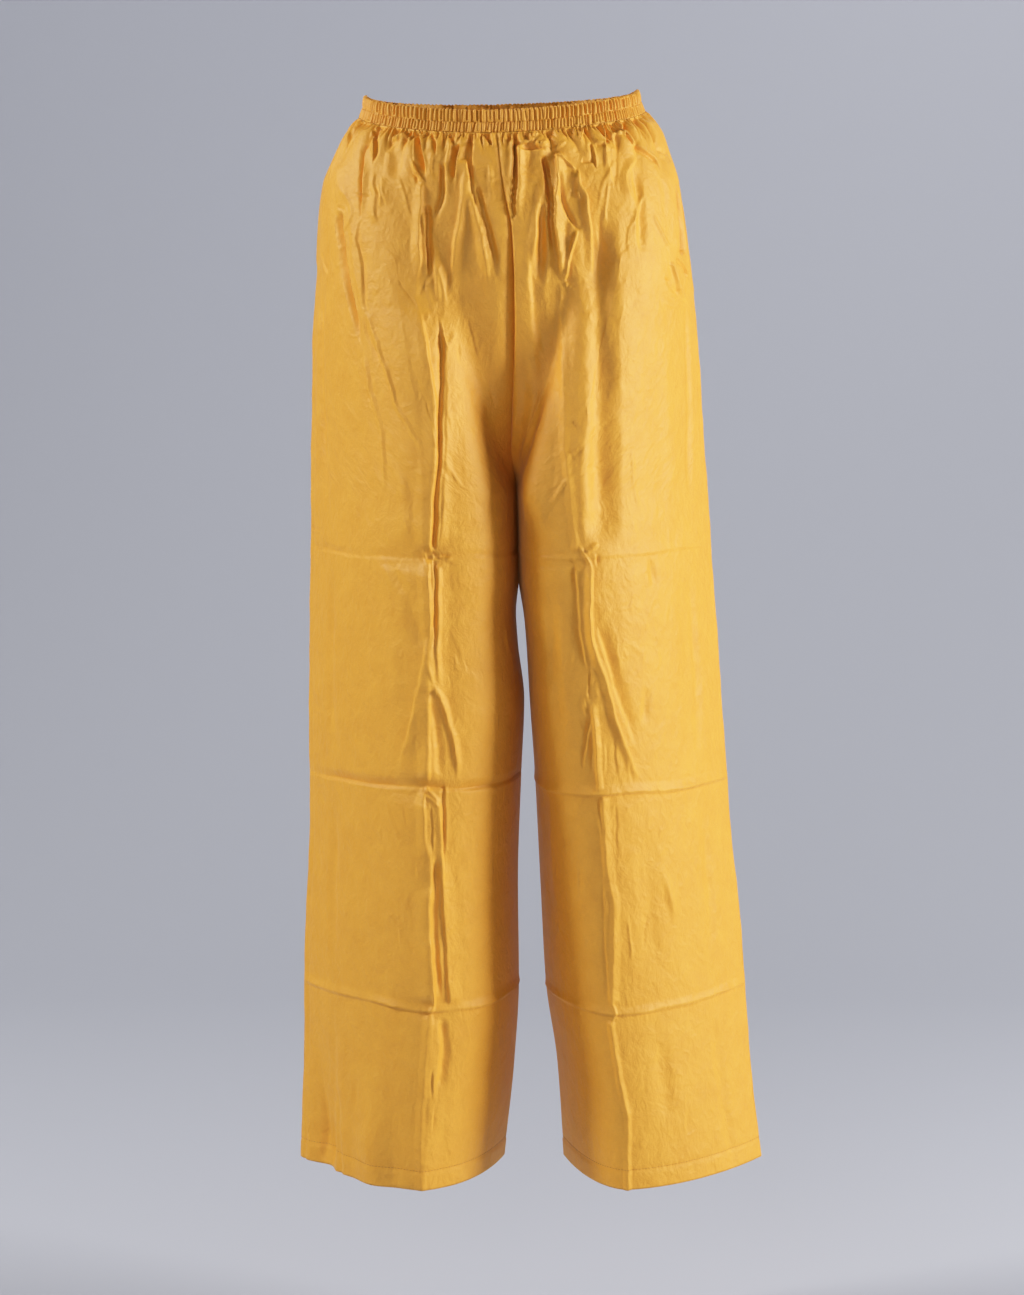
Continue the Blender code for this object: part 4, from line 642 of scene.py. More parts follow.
def column(table, name, level):
    """A column's value at a level, on a smooth curve through the rows that never overshoots them."""
    levels = np.array([row.level for row in table])[::-1]
    values = np.array([getattr(row, name) for row in table])[::-1]
    slopes = np.diff(values) / np.diff(levels)
    product = slopes[:-1] * slopes[1:]
    rising = product > 0.0
    total = np.where(rising, slopes[:-1] + slopes[1:], 1.0)
    tangents = np.concatenate(([slopes[0]], np.where(rising, 2.0 * product / total, 0.0), [slopes[-1]]))
    below = int(np.clip(np.searchsorted(levels, level) - 1, 0, len(levels) - 2))
    height = levels[below + 1] - levels[below]
    t = min(max((level - levels[below]) / height, 0.0), 1.0)
    start = values[below] * (1.0 + 2.0 * t) * (1.0 - t) ** 2 + tangents[below] * height * t * (1.0 - t) ** 2
    end = values[below + 1] * (3.0 - 2.0 * t) * t**2 + tangents[below + 1] * height * (t - 1.0) * t**2
    return float(start + end)


def even(points, count):
    """The same line with evenly spaced points."""
    steps = np.linalg.norm(np.diff(points, axis=0), axis=1)
    along = np.concatenate(([0.0], np.cumsum(steps)))
    places = np.linspace(0.0, along[-1], count)
    return np.stack([np.interp(places, along, points[:, axis]) for axis in range(points.shape[1])], axis=1)


def curve(start, end, start_handle, end_handle):
    """Bezier curve whose handles are shares of the way from start to end, in x and in y."""
    t = np.linspace(0.0, 1.0, HALF_STEPS + 1)[:, None]
    way = end - start
    first = start + way * start_handle
    second = start + way * end_handle
    return (1 - t) ** 3 * start + 3 * (1 - t) ** 2 * t * first + 3 * (1 - t) * t**2 * second + t**3 * end


def seam_point(side, level):
    """Place of a side seam at a level, seen from above."""
    return np.array([column(SEAMS, SIDE_NAMES[side], level), column(SEAMS, "depth", level)])


def body_line(side, face, level):
    """Quarter of the body's oval, from the side seam to the centre seam."""
    seam = seam_point(side, level)
    centre = np.array([column(HIPS, "centre", level), column(HIPS, FACE_NAMES[face], level)])
    turn = np.linspace(0.0, math.pi / 2, 4 * HALF_STEPS + 1)
    across = np.abs(np.cos(turn)) ** (2.0 / OVAL_POWER)
    along = np.abs(np.sin(turn)) ** (2.0 / OVAL_POWER)
    x = centre[0] + (seam[0] - centre[0]) * across
    y = seam[1] + (centre[1] - seam[1]) * along
    return even(np.stack([x, y], axis=1), 2 * HALF_STEPS + 1)


def leg_line(side, face, level):
    """Half of a leg's tube, from the side seam round the pressed crease to the inseam."""
    name = SIDE_NAMES[side]
    crease = np.array([column(LEGS, name + "_crease", level), column(LEGS, FACE_NAMES[face], level)])
    inseam_x = column(LEGS, name + "_inseam", level)
    if level > CROTCH_LEVEL:
        inseam_x = column(HIPS, "centre", level)
    inseam = np.array([inseam_x, column(LEGS, "inseam", level)])
    square = column(LEGS, name + "_square", level) if face == FRONT else 0.0
    seam_handle = SEAM_HANDLE * (1 - square) + SQUARE_SEAM_HANDLE * square
    crease_handle = CREASE_HANDLE * (1 - square) + SQUARE_CREASE_HANDLE * square
    outer = curve(seam_point(side, level), crease, SEAM_HANDLE, CREASE_HANDLE)
    inner = curve(inseam, crease, seam_handle, crease_handle)[::-1]
    return np.concatenate([even(outer, HALF_STEPS + 1), even(inner, HALF_STEPS + 1)[1:]])


def panel_line(side, face, level):
    """A panel's smooth line at a level, from the side seam to the centre seam or the inseam."""
    line = leg_line(side, face, level)
    if level > CROTCH_LEVEL:
        centre_share = column(HIPS, FACE_NAMES[face] + "_share", level)
        crease_share = column(HIPS, "crease_share", level)
        towards_centre = smooth(2.0 * np.linspace(0.0, 1.0, len(line)) - 1.0)
        share = (crease_share + (centre_share - crease_share) * towards_centre)[:, None]
        line = (1.0 - share) * body_line(side, face, level) + share * line
    turn = np.linspace(0.0, math.pi / 2, len(line))
    dip = column(SEAMS, "dip", level) if face == FRONT else 0.0
    heights = level - dip * np.sin(turn) + side * column(SEAMS, "tilt", level) * np.cos(turn)
    return np.column_stack([line, heights])


def at_shares(line, shares):
    """Points of a line at the given shares of its way."""
    places = np.linspace(0.0, 1.0, len(line))
    return np.stack([np.interp(shares, places, line[:, axis]) for axis in range(3)], axis=1)


def grid_normals(points, turn):
    """Outward unit normals of a grid of points."""
    return unit(turn * np.cross(np.gradient(points, axis=0), np.gradient(points, axis=1)))


def levels_of(steps):
    """Levels of a panel's rows from the band to the hem, so many that the inside takes every third."""
    levels = [BAND_FOOT - SEAM_GAP]
    for part in steps:
        count = max(1, round((levels[-1] - part.foot) / part.step))
        count += -count % INNER_STEP
        start = levels[-1]
        levels.extend(start + (part.foot - start) * (one + 1) / count for one in range(count))
    return np.array(levels)


def smooth_path(points, spacing=3.0):
    """A soft curve through the points of a path, as short straight pieces."""
    knots = np.array(points, dtype=float)
    ends = np.vstack([2 * knots[0] - knots[1], knots, 2 * knots[-1] - knots[-2]])
    made = []
    for index in range(len(knots) - 1):
        a, b, c, d = ends[index : index + 4]
        count = max(2, int(np.linalg.norm(c - b) / spacing))
        t = (np.arange(count) / count)[:, None]
        made.append(
            0.5 * (2 * b + (c - a) * t + (2 * a - 5 * b + 4 * c - d) * t**2 + (3 * b - a - 3 * c + d) * t**3)
        )
    made.append(knots[-1:])
    return np.concatenate(made)


def laps(fold):
    """Whether a fold is a narrow hollow, which is one edge of cloth over another."""
    return fold.rise < 0.0 and max(fold.left, fold.right) <= LAP_WIDEST


def fold_rise(across, height, fold, index):
    """How far one fold moves each point, by its place in the view that the fold is drawn in."""
    path = smooth_path(fold.path)
    reach = LAP_REACH if laps(fold) else 1.0
    widest = max(fold.left, fold.right, NARROWEST) * max(1.0, fold.grow) * reach + 1.0
    low = path.min(axis=0) - widest
    high = path.max(axis=0) + widest
    chosen = (across > low[0]) & (across < high[0]) & (height > low[1]) & (height < high[1])
    if not chosen.any():
        return chosen, np.zeros(0)
    x = across[chosen]
    z = height[chosen]
    steps = np.diff(path, axis=0)
    lengths = np.linalg.norm(steps, axis=1)
    along = np.concatenate(([0.0], np.cumsum(lengths)))
    wobble = 0.35 * np.sin(along / 9.0 + 1.7 * index) + 0.25 * np.sin(along / 3.7 + index)
    side_way = np.stack([-steps[:, 1], steps[:, 0]], axis=1) / lengths[:, None]
    path = path + np.vstack([side_way, side_way[-1:]]) * wobble[:, None]
    steps = np.diff(path, axis=0)
    best = np.full(len(x), 1e9)
    away = np.zeros(len(x))
    place = np.zeros(len(x))
    for one, (start, step) in enumerate(zip(path[:-1], steps)):
        length2 = float(step @ step)
        dx = x - start[0]
        dz = z - start[1]
        t = np.clip((dx * step[0] + dz * step[1]) / length2, 0.0, 1.0)
        gap = np.hypot(dx - t * step[0], dz - t * step[1])
        nearer = gap < best
        best = np.where(nearer, gap, best)
        cross = step[0] * dz - step[1] * dx
        away = np.where(nearer, np.sign(cross) * gap, away)
        place = np.where(nearer, along[one] + t * lengths[one], place)
    share = place / along[-1]
    ends = smooth(share / fold.head) * smooth((1.0 - share) / fold.tail)
    grown = (1.0 + (fold.grow - 1.0) * share) * (0.35 + 0.65 * ends if laps(fold) else 1.0)
    width = np.maximum(np.where(away < 0.0, fold.left, fold.right), NARROWEST) * grown
    if laps(fold):
        near = np.clip(1.0 - np.abs(away) / (LAP_REACH * width), 0.0, 1.0)
        low_side = 1.0 if index % 2 else -1.0
        step = np.tanh(low_side * away / LAP_EDGE)
        body = near * near * (LAP_LOW + LAP_HIGH * step)
    else:
        near = np.clip(1.0 - np.abs(away) / width, 0.0, 1.0)
        round_top = near * near * (3.0 - 2.0 * near)
        body = (1.0 - fold.crisp) * round_top + fold.crisp * near**1.15
    uneven = 1.0 + 0.16 * np.sin(place / 13.0 + 2.3 * index)
    broad = smooth((max(fold.left, fold.right) - NARROW) / (BROAD - NARROW))
    narrow_scale = HIP_SCALE if path[:, 1].mean() > HIP_FOOT else LEG_SCALE
    scale = narrow_scale + (BROAD_SCALE - narrow_scale) * broad
    return chosen, scale * fold.rise * body * ends * uneven


def chance_folds(group, side, seed):
    """A group of small uneven creases at random places on a panel, as folds."""
    chance = np.random.default_rng(1000 * seed + group.seed)
    made = []
    for one in range(group.count):
        level = chance.uniform(group.foot, group.top)
        seam = column(SEAMS, SIDE_NAMES[side], level)
        inner = column(HIPS, "centre", max(level, CROTCH_LEVEL))
        if level < CROTCH_LEVEL:
            inner = column(LEGS, SIDE_NAMES[side] + "_inseam", level)
        x = inner + (seam - inner) * chance.uniform(0.06, 0.93)
        length = chance.uniform(*group.length)
        lean = chance.normal(0.0, group.lean)
        bow = chance.normal(0.0, 0.10) * length
        path = [
            (x, level),
            (x + lean * length / 2 + bow, level - length / 2),
            (x + lean * length, level - length),
        ]
        sharp = chance.uniform(1.4, 2.0)
        wide = chance.uniform(*group.width)
        left, right = (sharp, wide) if chance.uniform() < 0.5 else (wide, sharp)
        rise = chance.uniform(*group.rise) * (1.0 if chance.uniform() < 0.6 else -1.0)
        made.append(Fold(rise, left, right, 0.6, 0.25, 0.35, chance.uniform(0.8, 1.5), path))
    return made


def press_rise(points, levels, side, shares):
    """How far the press lines across the legs move each point of a panel."""
    total = np.zeros(points.shape[:2])
    for number, press in enumerate(PRESSES):
        if press.side != side:
            continue
        x = points[..., 0]
        wave = press.wave * (np.sin(x / 31.0 + number) + 0.35 * np.sin(x / 11.0 + 2.0 * number))
        above = levels[:, None] - (press.level + wave)
        reach = np.where(above > 0.0, press.above, press.below)
        near = np.clip(1.0 - np.abs(above) / reach, 0.0, 1.0)
        uneven = 0.75 + 0.35 * np.sin(x / 23.0 + 2.1 * number) * np.sin(x / 9.0 + number)
        total += press.rise * near**1.3 * uneven * smooth(8.0 * shares * (1.0 - shares) + 0.3)
    return total


def tuck_rise(side, face, levels, shares, seed):
    """The gathers under the band, each a narrow hollow with a sharp bottom between two puffs."""
    top = at_shares(panel_line(side, face, BAND_FOOT), shares)
    along = np.concatenate(([0.0], np.cumsum(np.linalg.norm(np.diff(top, axis=0), axis=1))))
    below = (BAND_FOOT - levels)[:, None]
    puff = TUCK_PUFF * smooth((below + 1.0) / 5.0) * (1.0 - smooth((below - 6.0) / 34.0))
    total = np.repeat(puff, len(along), axis=1)
    for tucks in TUCKS:
        chance = np.random.default_rng(100 * tucks.seed + seed)
        place = chance.uniform(0.2, 0.8) * tucks.pitch[0]
        while place < along[-1] - 1.0:
            depth = chance.uniform(*tucks.depth)
            width = chance.uniform(*tucks.width)
            length = tucks.length[0] + (tucks.length[1] - tucks.length[0]) * chance.uniform() ** 1.5
            lean = chance.normal(0.0, tucks.lean)
            bend = chance.normal(0.0, 0.2) * tucks.lean / length
            swerve = chance.uniform(0.3, 1.2)
            turn = chance.uniform(0.0, 6.0)
            shift = lean * below + bend * below**2 + swerve * (np.sin(below / 6.0 + turn) - math.sin(turn))
            spread = width * (1.0 + below / 18.0)
            gap = np.abs(along[None, :] - place - shift) / spread
            fade = (1.0 - np.clip(below / length, 0.0, 1.0)) ** 1.2
            total -= depth * fade * np.exp(-(gap**1.35))
            place += chance.uniform(*tucks.pitch)
    return total


def mouth_share(levels, side):
    """How far the pocket's mouth stands open: 1 at its widest level and 0 above and below it."""
    opened = smooth((MOUTH_TOP - levels) / MOUTH_OPENING[side])
    return opened * smooth((levels - MOUTH_FOOT[side]) / MOUTH_CLOSING[side])


def along_rows(grid, old, new):
    """The rows of a grid read at new distances from the side seam."""
    rows = []
    for row, before, after in zip(grid, old, new):
        rows.append([np.interp(after, before, row[:, axis]) for axis in range(row.shape[1])])
    return np.array(rows).transpose(0, 2, 1)


def mouth_gape(side, points, levels, from_side):
    """How far the mouth's front edge is drawn back from the side seam along the cloth, as a column of rows.

    What is to show from the front is turned into a way along the cloth, past its outermost point.
    """
    share = mouth_share(levels, side)
    shown = MOUTH_SHOWN[side] * share
    gape = MOUTH_GAPE[side] * share
    for row, width in enumerate(shown):
        if width > 0.0:
            out = side * points[row, :, 0]
            first = int(np.argmax(out))
            gape[row] += min(width, 1.0) * np.interp(width - out[first], -out[first:], from_side[row, first:])
    return gape[:, None]


def edge_distance(points):
    """How far each point lies from the panel's side seam and from its centre seam or inseam."""
    steps = np.linalg.norm(np.diff(points, axis=1), axis=2)
    from_side = np.concatenate([np.zeros((len(points), 1)), np.cumsum(steps, axis=1)], axis=1)
    return from_side, from_side[:, -1:] - from_side


def panel_form(side, face, levels, columns):
    """The panel's smooth form as a grid of points, without folds."""
    even_shares = np.linspace(0.0, 1.0, columns + 1)
    shares = even_shares + CREASE_CROWD * np.sin(2.0 * math.pi * even_shares) / (2.0 * math.pi)
    return np.array([at_shares(panel_line(side, face, level), shares) for level in levels]), shares


def panel_rise(side, face, points, normals, levels, shares, folds, seed):
    """How far every fold together moves each point of a panel out of its smooth form."""
    across = np.clip(np.abs(normals[..., 1]) / 0.3, 0.0, 1.0)
    total = np.zeros(points.shape[:2])
    small = [fold for group in CREASES for fold in chance_folds(group, side, seed)]
    for index, fold in enumerate(folds + small):
        chosen, rise = fold_rise(points[..., 0], points[..., 2], fold, index)
        total[chosen] += rise * across[chosen]
    sideways = smooth((np.abs(normals[..., 0]) - 0.45) / 0.35) * smooth((0.5 - shares) / 0.15)
    for index, fold in enumerate(SIDE_FOLDS):
        chosen, rise = fold_rise(points[..., 1], points[..., 2], fold, index + side)
        total[chosen] += rise * sideways[chosen]
    total += press_rise(points, levels, side, shares)
    total += tuck_rise(side, face, levels, shares, seed)
    from_side, from_centre = edge_distance(points)
    calm = smooth((from_side - 1.0) / SEAM_CALM) * smooth((from_centre - 1.0) / (0.6 * SEAM_CALM))
    total *= calm
    total = np.maximum(total, -TOP_HOLD - TOP_FREE * smooth((BAND_FOOT - levels) / 7.0)[:, None])
    touch = smooth((CROTCH_LEVEL - levels) / 12.0 + 0.5)
    touch = touch * smooth((levels - LEGS_TOUCH_FOOT) / LEGS_TOUCH_FADE)
    total += LEGS_TOUCH * touch[:, None] * np.exp(-((from_centre / LEGS_TOUCH_REACH) ** 2))
    if face == FRONT:
        held = np.clip(levels, VALLEY[-1].level, VALLEY[0].level)
        depth = np.array([column(VALLEY, "depth", level) for level in held])[:, None]
        reach = np.array([column(VALLEY, SIDE_NAMES[side], level) for level in held])[:, None]
        total -= depth * np.clip(1.0 - from_centre / reach, 0.0, 1.0) ** VALLEY_POWER
    waver = np.sin(levels / 19.0 + side) + 0.6 * np.sin(levels / 7.3 + 2.0 * side)
    waver = waver + 0.3 * np.sin(levels / 3.7)
    waver *= SEAM_WAVER * smooth((-40.0 - levels) / 40.0)
    total += waver[:, None] * np.exp(-((from_side / SEAM_WAVER_REACH) ** 2))
    pinch = SEAM_PINCH * (0.6 + 0.4 * np.sin(levels / 23.0 + side))
    pinch = pinch * smooth((MOUTH_FOOT[side] - levels) / 40.0)
    total -= pinch[:, None] * np.exp(-(((from_side - SEAM_PINCH_PLACE) / SEAM_PINCH_WIDTH) ** 2))
    near_seam = np.minimum(from_side, from_centre)
    total -= SEAM_ROLL * np.exp(-((near_seam / SEAM_ROLL_WIDTH) ** 2))
    stitch_line = HEM_LEVEL + HEM_WIDTH
    total -= STITCH_DIP * np.exp(-(((levels - stitch_line) / STITCH_DIP_WIDTH) ** 2))[:, None]
    total += HEM_LIFT * smooth((stitch_line - levels) / 2.0)[:, None]
    return total


def quads_of(rows, columns, offset=0):
    """Quads between the points of a grid."""
    row, place = np.meshgrid(np.arange(rows - 1), np.arange(columns - 1), indexing="ij")
    first = (row * columns + place).ravel() + offset
    return np.stack([first, first + columns, first + columns + 1, first + 1], axis=1)


def grid_ids(grid, start=0):
    """The numbers of a grid's points in the mesh, from a first one on."""
    rows, columns = grid.shape[:2]
    return start + np.arange(rows * columns).reshape(rows, columns)


def rim_faces(outer, inner, flip):
    """Triangles between a fine edge and a coarse one whose points lie at every few of the fine one's."""
    step = (len(outer) - 1) // (len(inner) - 1)
    middle = step // 2
    faces = []
    for place in range(len(inner) - 1):
        rim = outer[step * place : step * place + step + 1]
        fan = [[inner[place], rim[one], rim[one + 1]] for one in range(middle)]
        fan.append([inner[place], rim[middle], inner[place + 1]])
        fan += [[inner[place + 1], rim[one], rim[one + 1]] for one in range(middle, step)]
        faces.extend([face[::-1] if flip else face for face in fan])
    return np.array(faces)


def new_mesh(name, vertices, quads, triangles, uv, material):
    """A smooth mesh object from points in millimetres, with a place on the flat cloth for each point."""
    mesh = bpy.data.meshes.new(name)
    loops = np.concatenate([quads.ravel(), triangles.ravel()]).astype(np.int32)
    sizes = np.concatenate([np.full(len(quads), 4), np.full(len(triangles), 3)])
    mesh.vertices.add(len(vertices))
    mesh.vertices.foreach_set("co", (vertices * MM).astype(np.float32).ravel())
    mesh.loops.add(len(loops))
    mesh.loops.foreach_set("vertex_index", loops)
    mesh.polygons.add(len(sizes))
    mesh.polygons.foreach_set("loop_start", np.concatenate(([0], np.cumsum(sizes)[:-1])).astype(np.int32))
    mesh.polygons.foreach_set("use_smooth", np.ones(len(sizes), dtype=bool))
    layer = mesh.uv_layers.new(name="cloth")
    layer.data.foreach_set("uv", (uv[loops] * MM).astype(np.float32).ravel())
    mesh.update(calc_edges=True)
    mesh.validate()
    mesh.materials.append(material)
    made = bpy.data.objects.new(name, mesh)
    bpy.context.collection.objects.link(made)
    return made


def lowest_around(values, reach):
    """The lowest value within a few rows and columns of each."""
    lowest = values.copy()
    for axis in (0, 1):
        kept = lowest.copy()
        for shift in range(1, reach + 1):
            ahead = np.roll(kept, -shift, axis=axis)
            behind = np.roll(kept, shift, axis=axis)
            if axis == 0:
                ahead[-shift:] = kept[-shift:]
                behind[:shift] = kept[:shift]
            else:
                ahead[:, -shift:] = kept[:, -shift:]
                behind[:, :shift] = kept[:, :shift]
            lowest = np.minimum(lowest, np.minimum(ahead, behind))
    return lowest


def shell(name, outer, inner, flat, inner_step, turn, material):
    """A closed thin shell: a fine outer grid, a coarse inner one, and rims between them."""
    ids = grid_ids(outer)
    inner_ids = grid_ids(inner, ids.size)
    quads = [quads_of(*ids.shape), quads_of(*inner_ids.shape, ids.size)[:, ::-1]]
    rims = [
        rim_faces(ids[0], inner_ids[0], False),
        rim_faces(ids[-1], inner_ids[-1], True),
        rim_faces(ids[:, 0], inner_ids[:, 0], True),
        rim_faces(ids[:, -1], inner_ids[:, -1], False),
    ]
    quads = np.concatenate(quads)
    triangles = np.concatenate(rims)
    if turn < 0:
        quads = quads[:, ::-1]
        triangles = triangles[:, ::-1]
    vertices = np.concatenate([outer.reshape(-1, 3), inner.reshape(-1, 3)])
    uv = np.concatenate([flat.reshape(-1, 2), flat[::inner_step, ::inner_step].reshape(-1, 2)])
    return new_mesh(name, vertices, quads, triangles, uv, material)


Part = namedtuple("Part", "outer inner flat normals")


def panel_part(side, face, levels, columns, folds, seed):
    """A part of a panel between two levels, as grids of its outer and inner points."""
    points, shares = panel_form(side, face, levels, columns)
    normals = grid_normals(points, side * face)
    rise = panel_rise(side, face, points, normals, levels, shares, folds, seed)
    from_side, from_centre = edge_distance(points)
    mouth = mouth_share(levels, side)[:, None]
    if face == FRONT:
        gape = mouth_gape(side, points, levels, from_side)
        reach = np.maximum(1.25 * gape, MOUTH_REACH)
    else:
        gape = MOUTH_BACK[side] * mouth
        reach = MOUTH_BACK_REACH
    moved = from_side + gape * np.exp(-((from_side / reach) ** 2))
    points = along_rows(points, from_side, moved)
    normals = along_rows(normals, from_side, moved)
    rise = along_rows(rise[..., None], from_side, moved)[..., 0]
    if face == FRONT:
        rise = rise * (1.0 - mouth * np.exp(-((from_side / MOUTH_CALM) ** 2)))
        rise = rise + MOUTH_LIFT[side] * mouth * np.exp(-from_side / MOUTH_LIFT_REACH)
    along = unit(np.gradient(points, axis=1))
    over_seam = SEAM_LAP * np.exp(-from_centre / SEAM_LAP_REACH)
    over_seam = over_seam - SEAM_LAP * np.exp(-from_side / SEAM_LAP_REACH)
    points = points + along * over_seam[..., None]
    wall = np.where(levels < HEM_LEVEL + HEM_WIDTH, HEM_CLOTH, CLOTH)[:, None]
    lying_in = lowest_around(rise, 2)
    lying_in[:, [0, -1]] = rise[:, [0, -1]]
    lying_in[[0, -1]] = rise[[0, -1]]
    inner = points + normals * (lying_in - wall)[..., None]
    outer = points + normals * rise[..., None]
    joined = smooth((levels - CROTCH_LEVEL) / 4.0 + 1.0)[:, None] * np.exp(-from_centre / 6.0)
    under = 0.0 * levels
    if face == FRONT:
        under = np.array([column(VALLEY, "depth", max(level, VALLEY[-1].level)) for level in levels])
    under = VALLEY_UNDER * under[:, None] * np.exp(-from_centre / VALLEY_UNDER_REACH[side])
    for grid in (outer, inner):
        grid[..., 0] += under - joined * (grid[:, -1:, 0] - points[:, -1:, 0])
    flat = np.stack([moved - from_side[:, -1:] / 2, np.repeat(levels[:, None], columns + 1, axis=1)], axis=2)
    return Part(outer, inner, flat, normals)


def panel(side, face, folds, seed, material):
    """One front or back panel with all its folds, with twice as many columns where it is gathered."""
    rows = FRONT_ROWS if face == FRONT else BACK_ROWS
    columns = FRONT_COLUMNS if face == FRONT else BACK_COLUMNS
    levels = levels_of(rows)
    joint = int(np.argmin(np.abs(levels - rows[0].foot)))
    fine = panel_part(side, face, levels[: joint + 2], 2 * columns, folds, seed)
    fine = Part(*[grid[: joint + 1] for grid in fine])
    coarse = panel_part(side, face, levels[joint - 1 :], columns, folds, seed)
    coarse = Part(*[grid[2:] for grid in coarse])

    step = INNER_STEP
    inner = np.concatenate([fine.inner[::step, :: 2 * step], coarse.inner[step - 1 :: step, ::step]])
    inner_flat = np.concatenate([fine.flat[::step, :: 2 * step], coarse.flat[step - 1 :: step, ::step]])
    fine_ids = grid_ids(fine.outer)
    coarse_ids = grid_ids(coarse.outer, fine_ids.size)
    start = fine_ids.size + coarse_ids.size
    inner_ids = grid_ids(inner, start)
    quads = np.concatenate(
        [
            quads_of(*fine_ids.shape),
            quads_of(*coarse_ids.shape, fine_ids.size),
            quads_of(*inner_ids.shape, start)[:, ::-1],
        ]
    )
    seam_edge = np.concatenate([fine_ids[:, 0], coarse_ids[:, 0]])
    centre_edge = np.concatenate([fine_ids[:, -1], coarse_ids[:, -1]])
    triangles = np.concatenate(
        [
            rim_faces(fine_ids[-1], coarse_ids[0], True),
            rim_faces(fine_ids[0], inner_ids[0], False),
            rim_faces(coarse_ids[-1], inner_ids[-1], True),
            rim_faces(seam_edge, inner_ids[:, 0], True),
            rim_faces(centre_edge, inner_ids[:, -1], False),
        ]
    )
    if side * face < 0:
        quads = quads[:, ::-1]
        triangles = triangles[:, ::-1]
    vertices = np.concatenate([fine.outer.reshape(-1, 3), coarse.outer.reshape(-1, 3), inner.reshape(-1, 3)])
    uv = np.concatenate([fine.flat.reshape(-1, 2), coarse.flat.reshape(-1, 2), inner_flat.reshape(-1, 2)])
    name = FACE_NAMES[face] + "_" + SIDE_NAMES[side] + "_cloth"
    made = new_mesh(name, vertices, quads, triangles, uv, material)
    return made, coarse, levels[joint + 1 :]


def waist_ring(level, count):
    """The closed line of the waist at a level, from the left side round the front, evenly spaced."""
    quarters = [
        panel_line(LEFT, FRONT, level),
        panel_line(RIGHT, FRONT, level)[::-1],
        panel_line(RIGHT, BACK, level),
        panel_line(LEFT, BACK, level)[::-1],
    ]
    whole = np.concatenate([quarters[0]] + [quarter[1:] for quarter in quarters[1:]])
    return even(whole, count + 1)[:-1]


def ring_outward(ring):
    """Horizontal unit directions out of a closed ring of points."""
    along = np.roll(ring, -1, axis=0) - np.roll(ring, 1, axis=0)
    flat = unit(np.stack([along[:, 1], -along[:, 0]], axis=1))
    return np.column_stack([flat, np.zeros(len(ring))])


def ruche_rise(row, down, along, around):
    """One row of ruches: narrow hollows at uneven places between low round ridges."""
    chance = np.random.default_rng(row.seed)
    height = BAND_TOP - BAND_FOOT
    inside = (down >= row.start) & (down <= row.end)
    share = np.clip((down - row.start) / (row.end - row.start), 0.0, 1.0)
    total = np.zeros((len(down), len(along)))
    place = 0.0
    while place < around - row.least:
        depth = row.shallow + (row.deep - row.shallow) * chance.uniform() ** 1.7
        width = chance.uniform(row.narrow, row.wide)
        lean = row.lean * math.sin(2.0 * math.pi * place / around + 2.2) + chance.normal(0.0, 0.05)
        start, end = chance.uniform(-0.4, 0.06), chance.uniform(0.9, 1.4)
        reach = (smooth((share - start) / 0.22) * smooth((end - share) / 0.22))[:, None]
        shift = lean * (down - row.start)[:, None] * height
        gap = along[None, :] - place - shift
        gap = (gap + around / 2) % around - around / 2
        near = np.abs(gap) < 4.0 * width
        total -= np.where(near, depth * reach * np.exp(-(np.abs(gap / width) ** 1.25)), 0.0)
        place += chance.uniform(row.least, row.most)
    return total * inside[:, None]


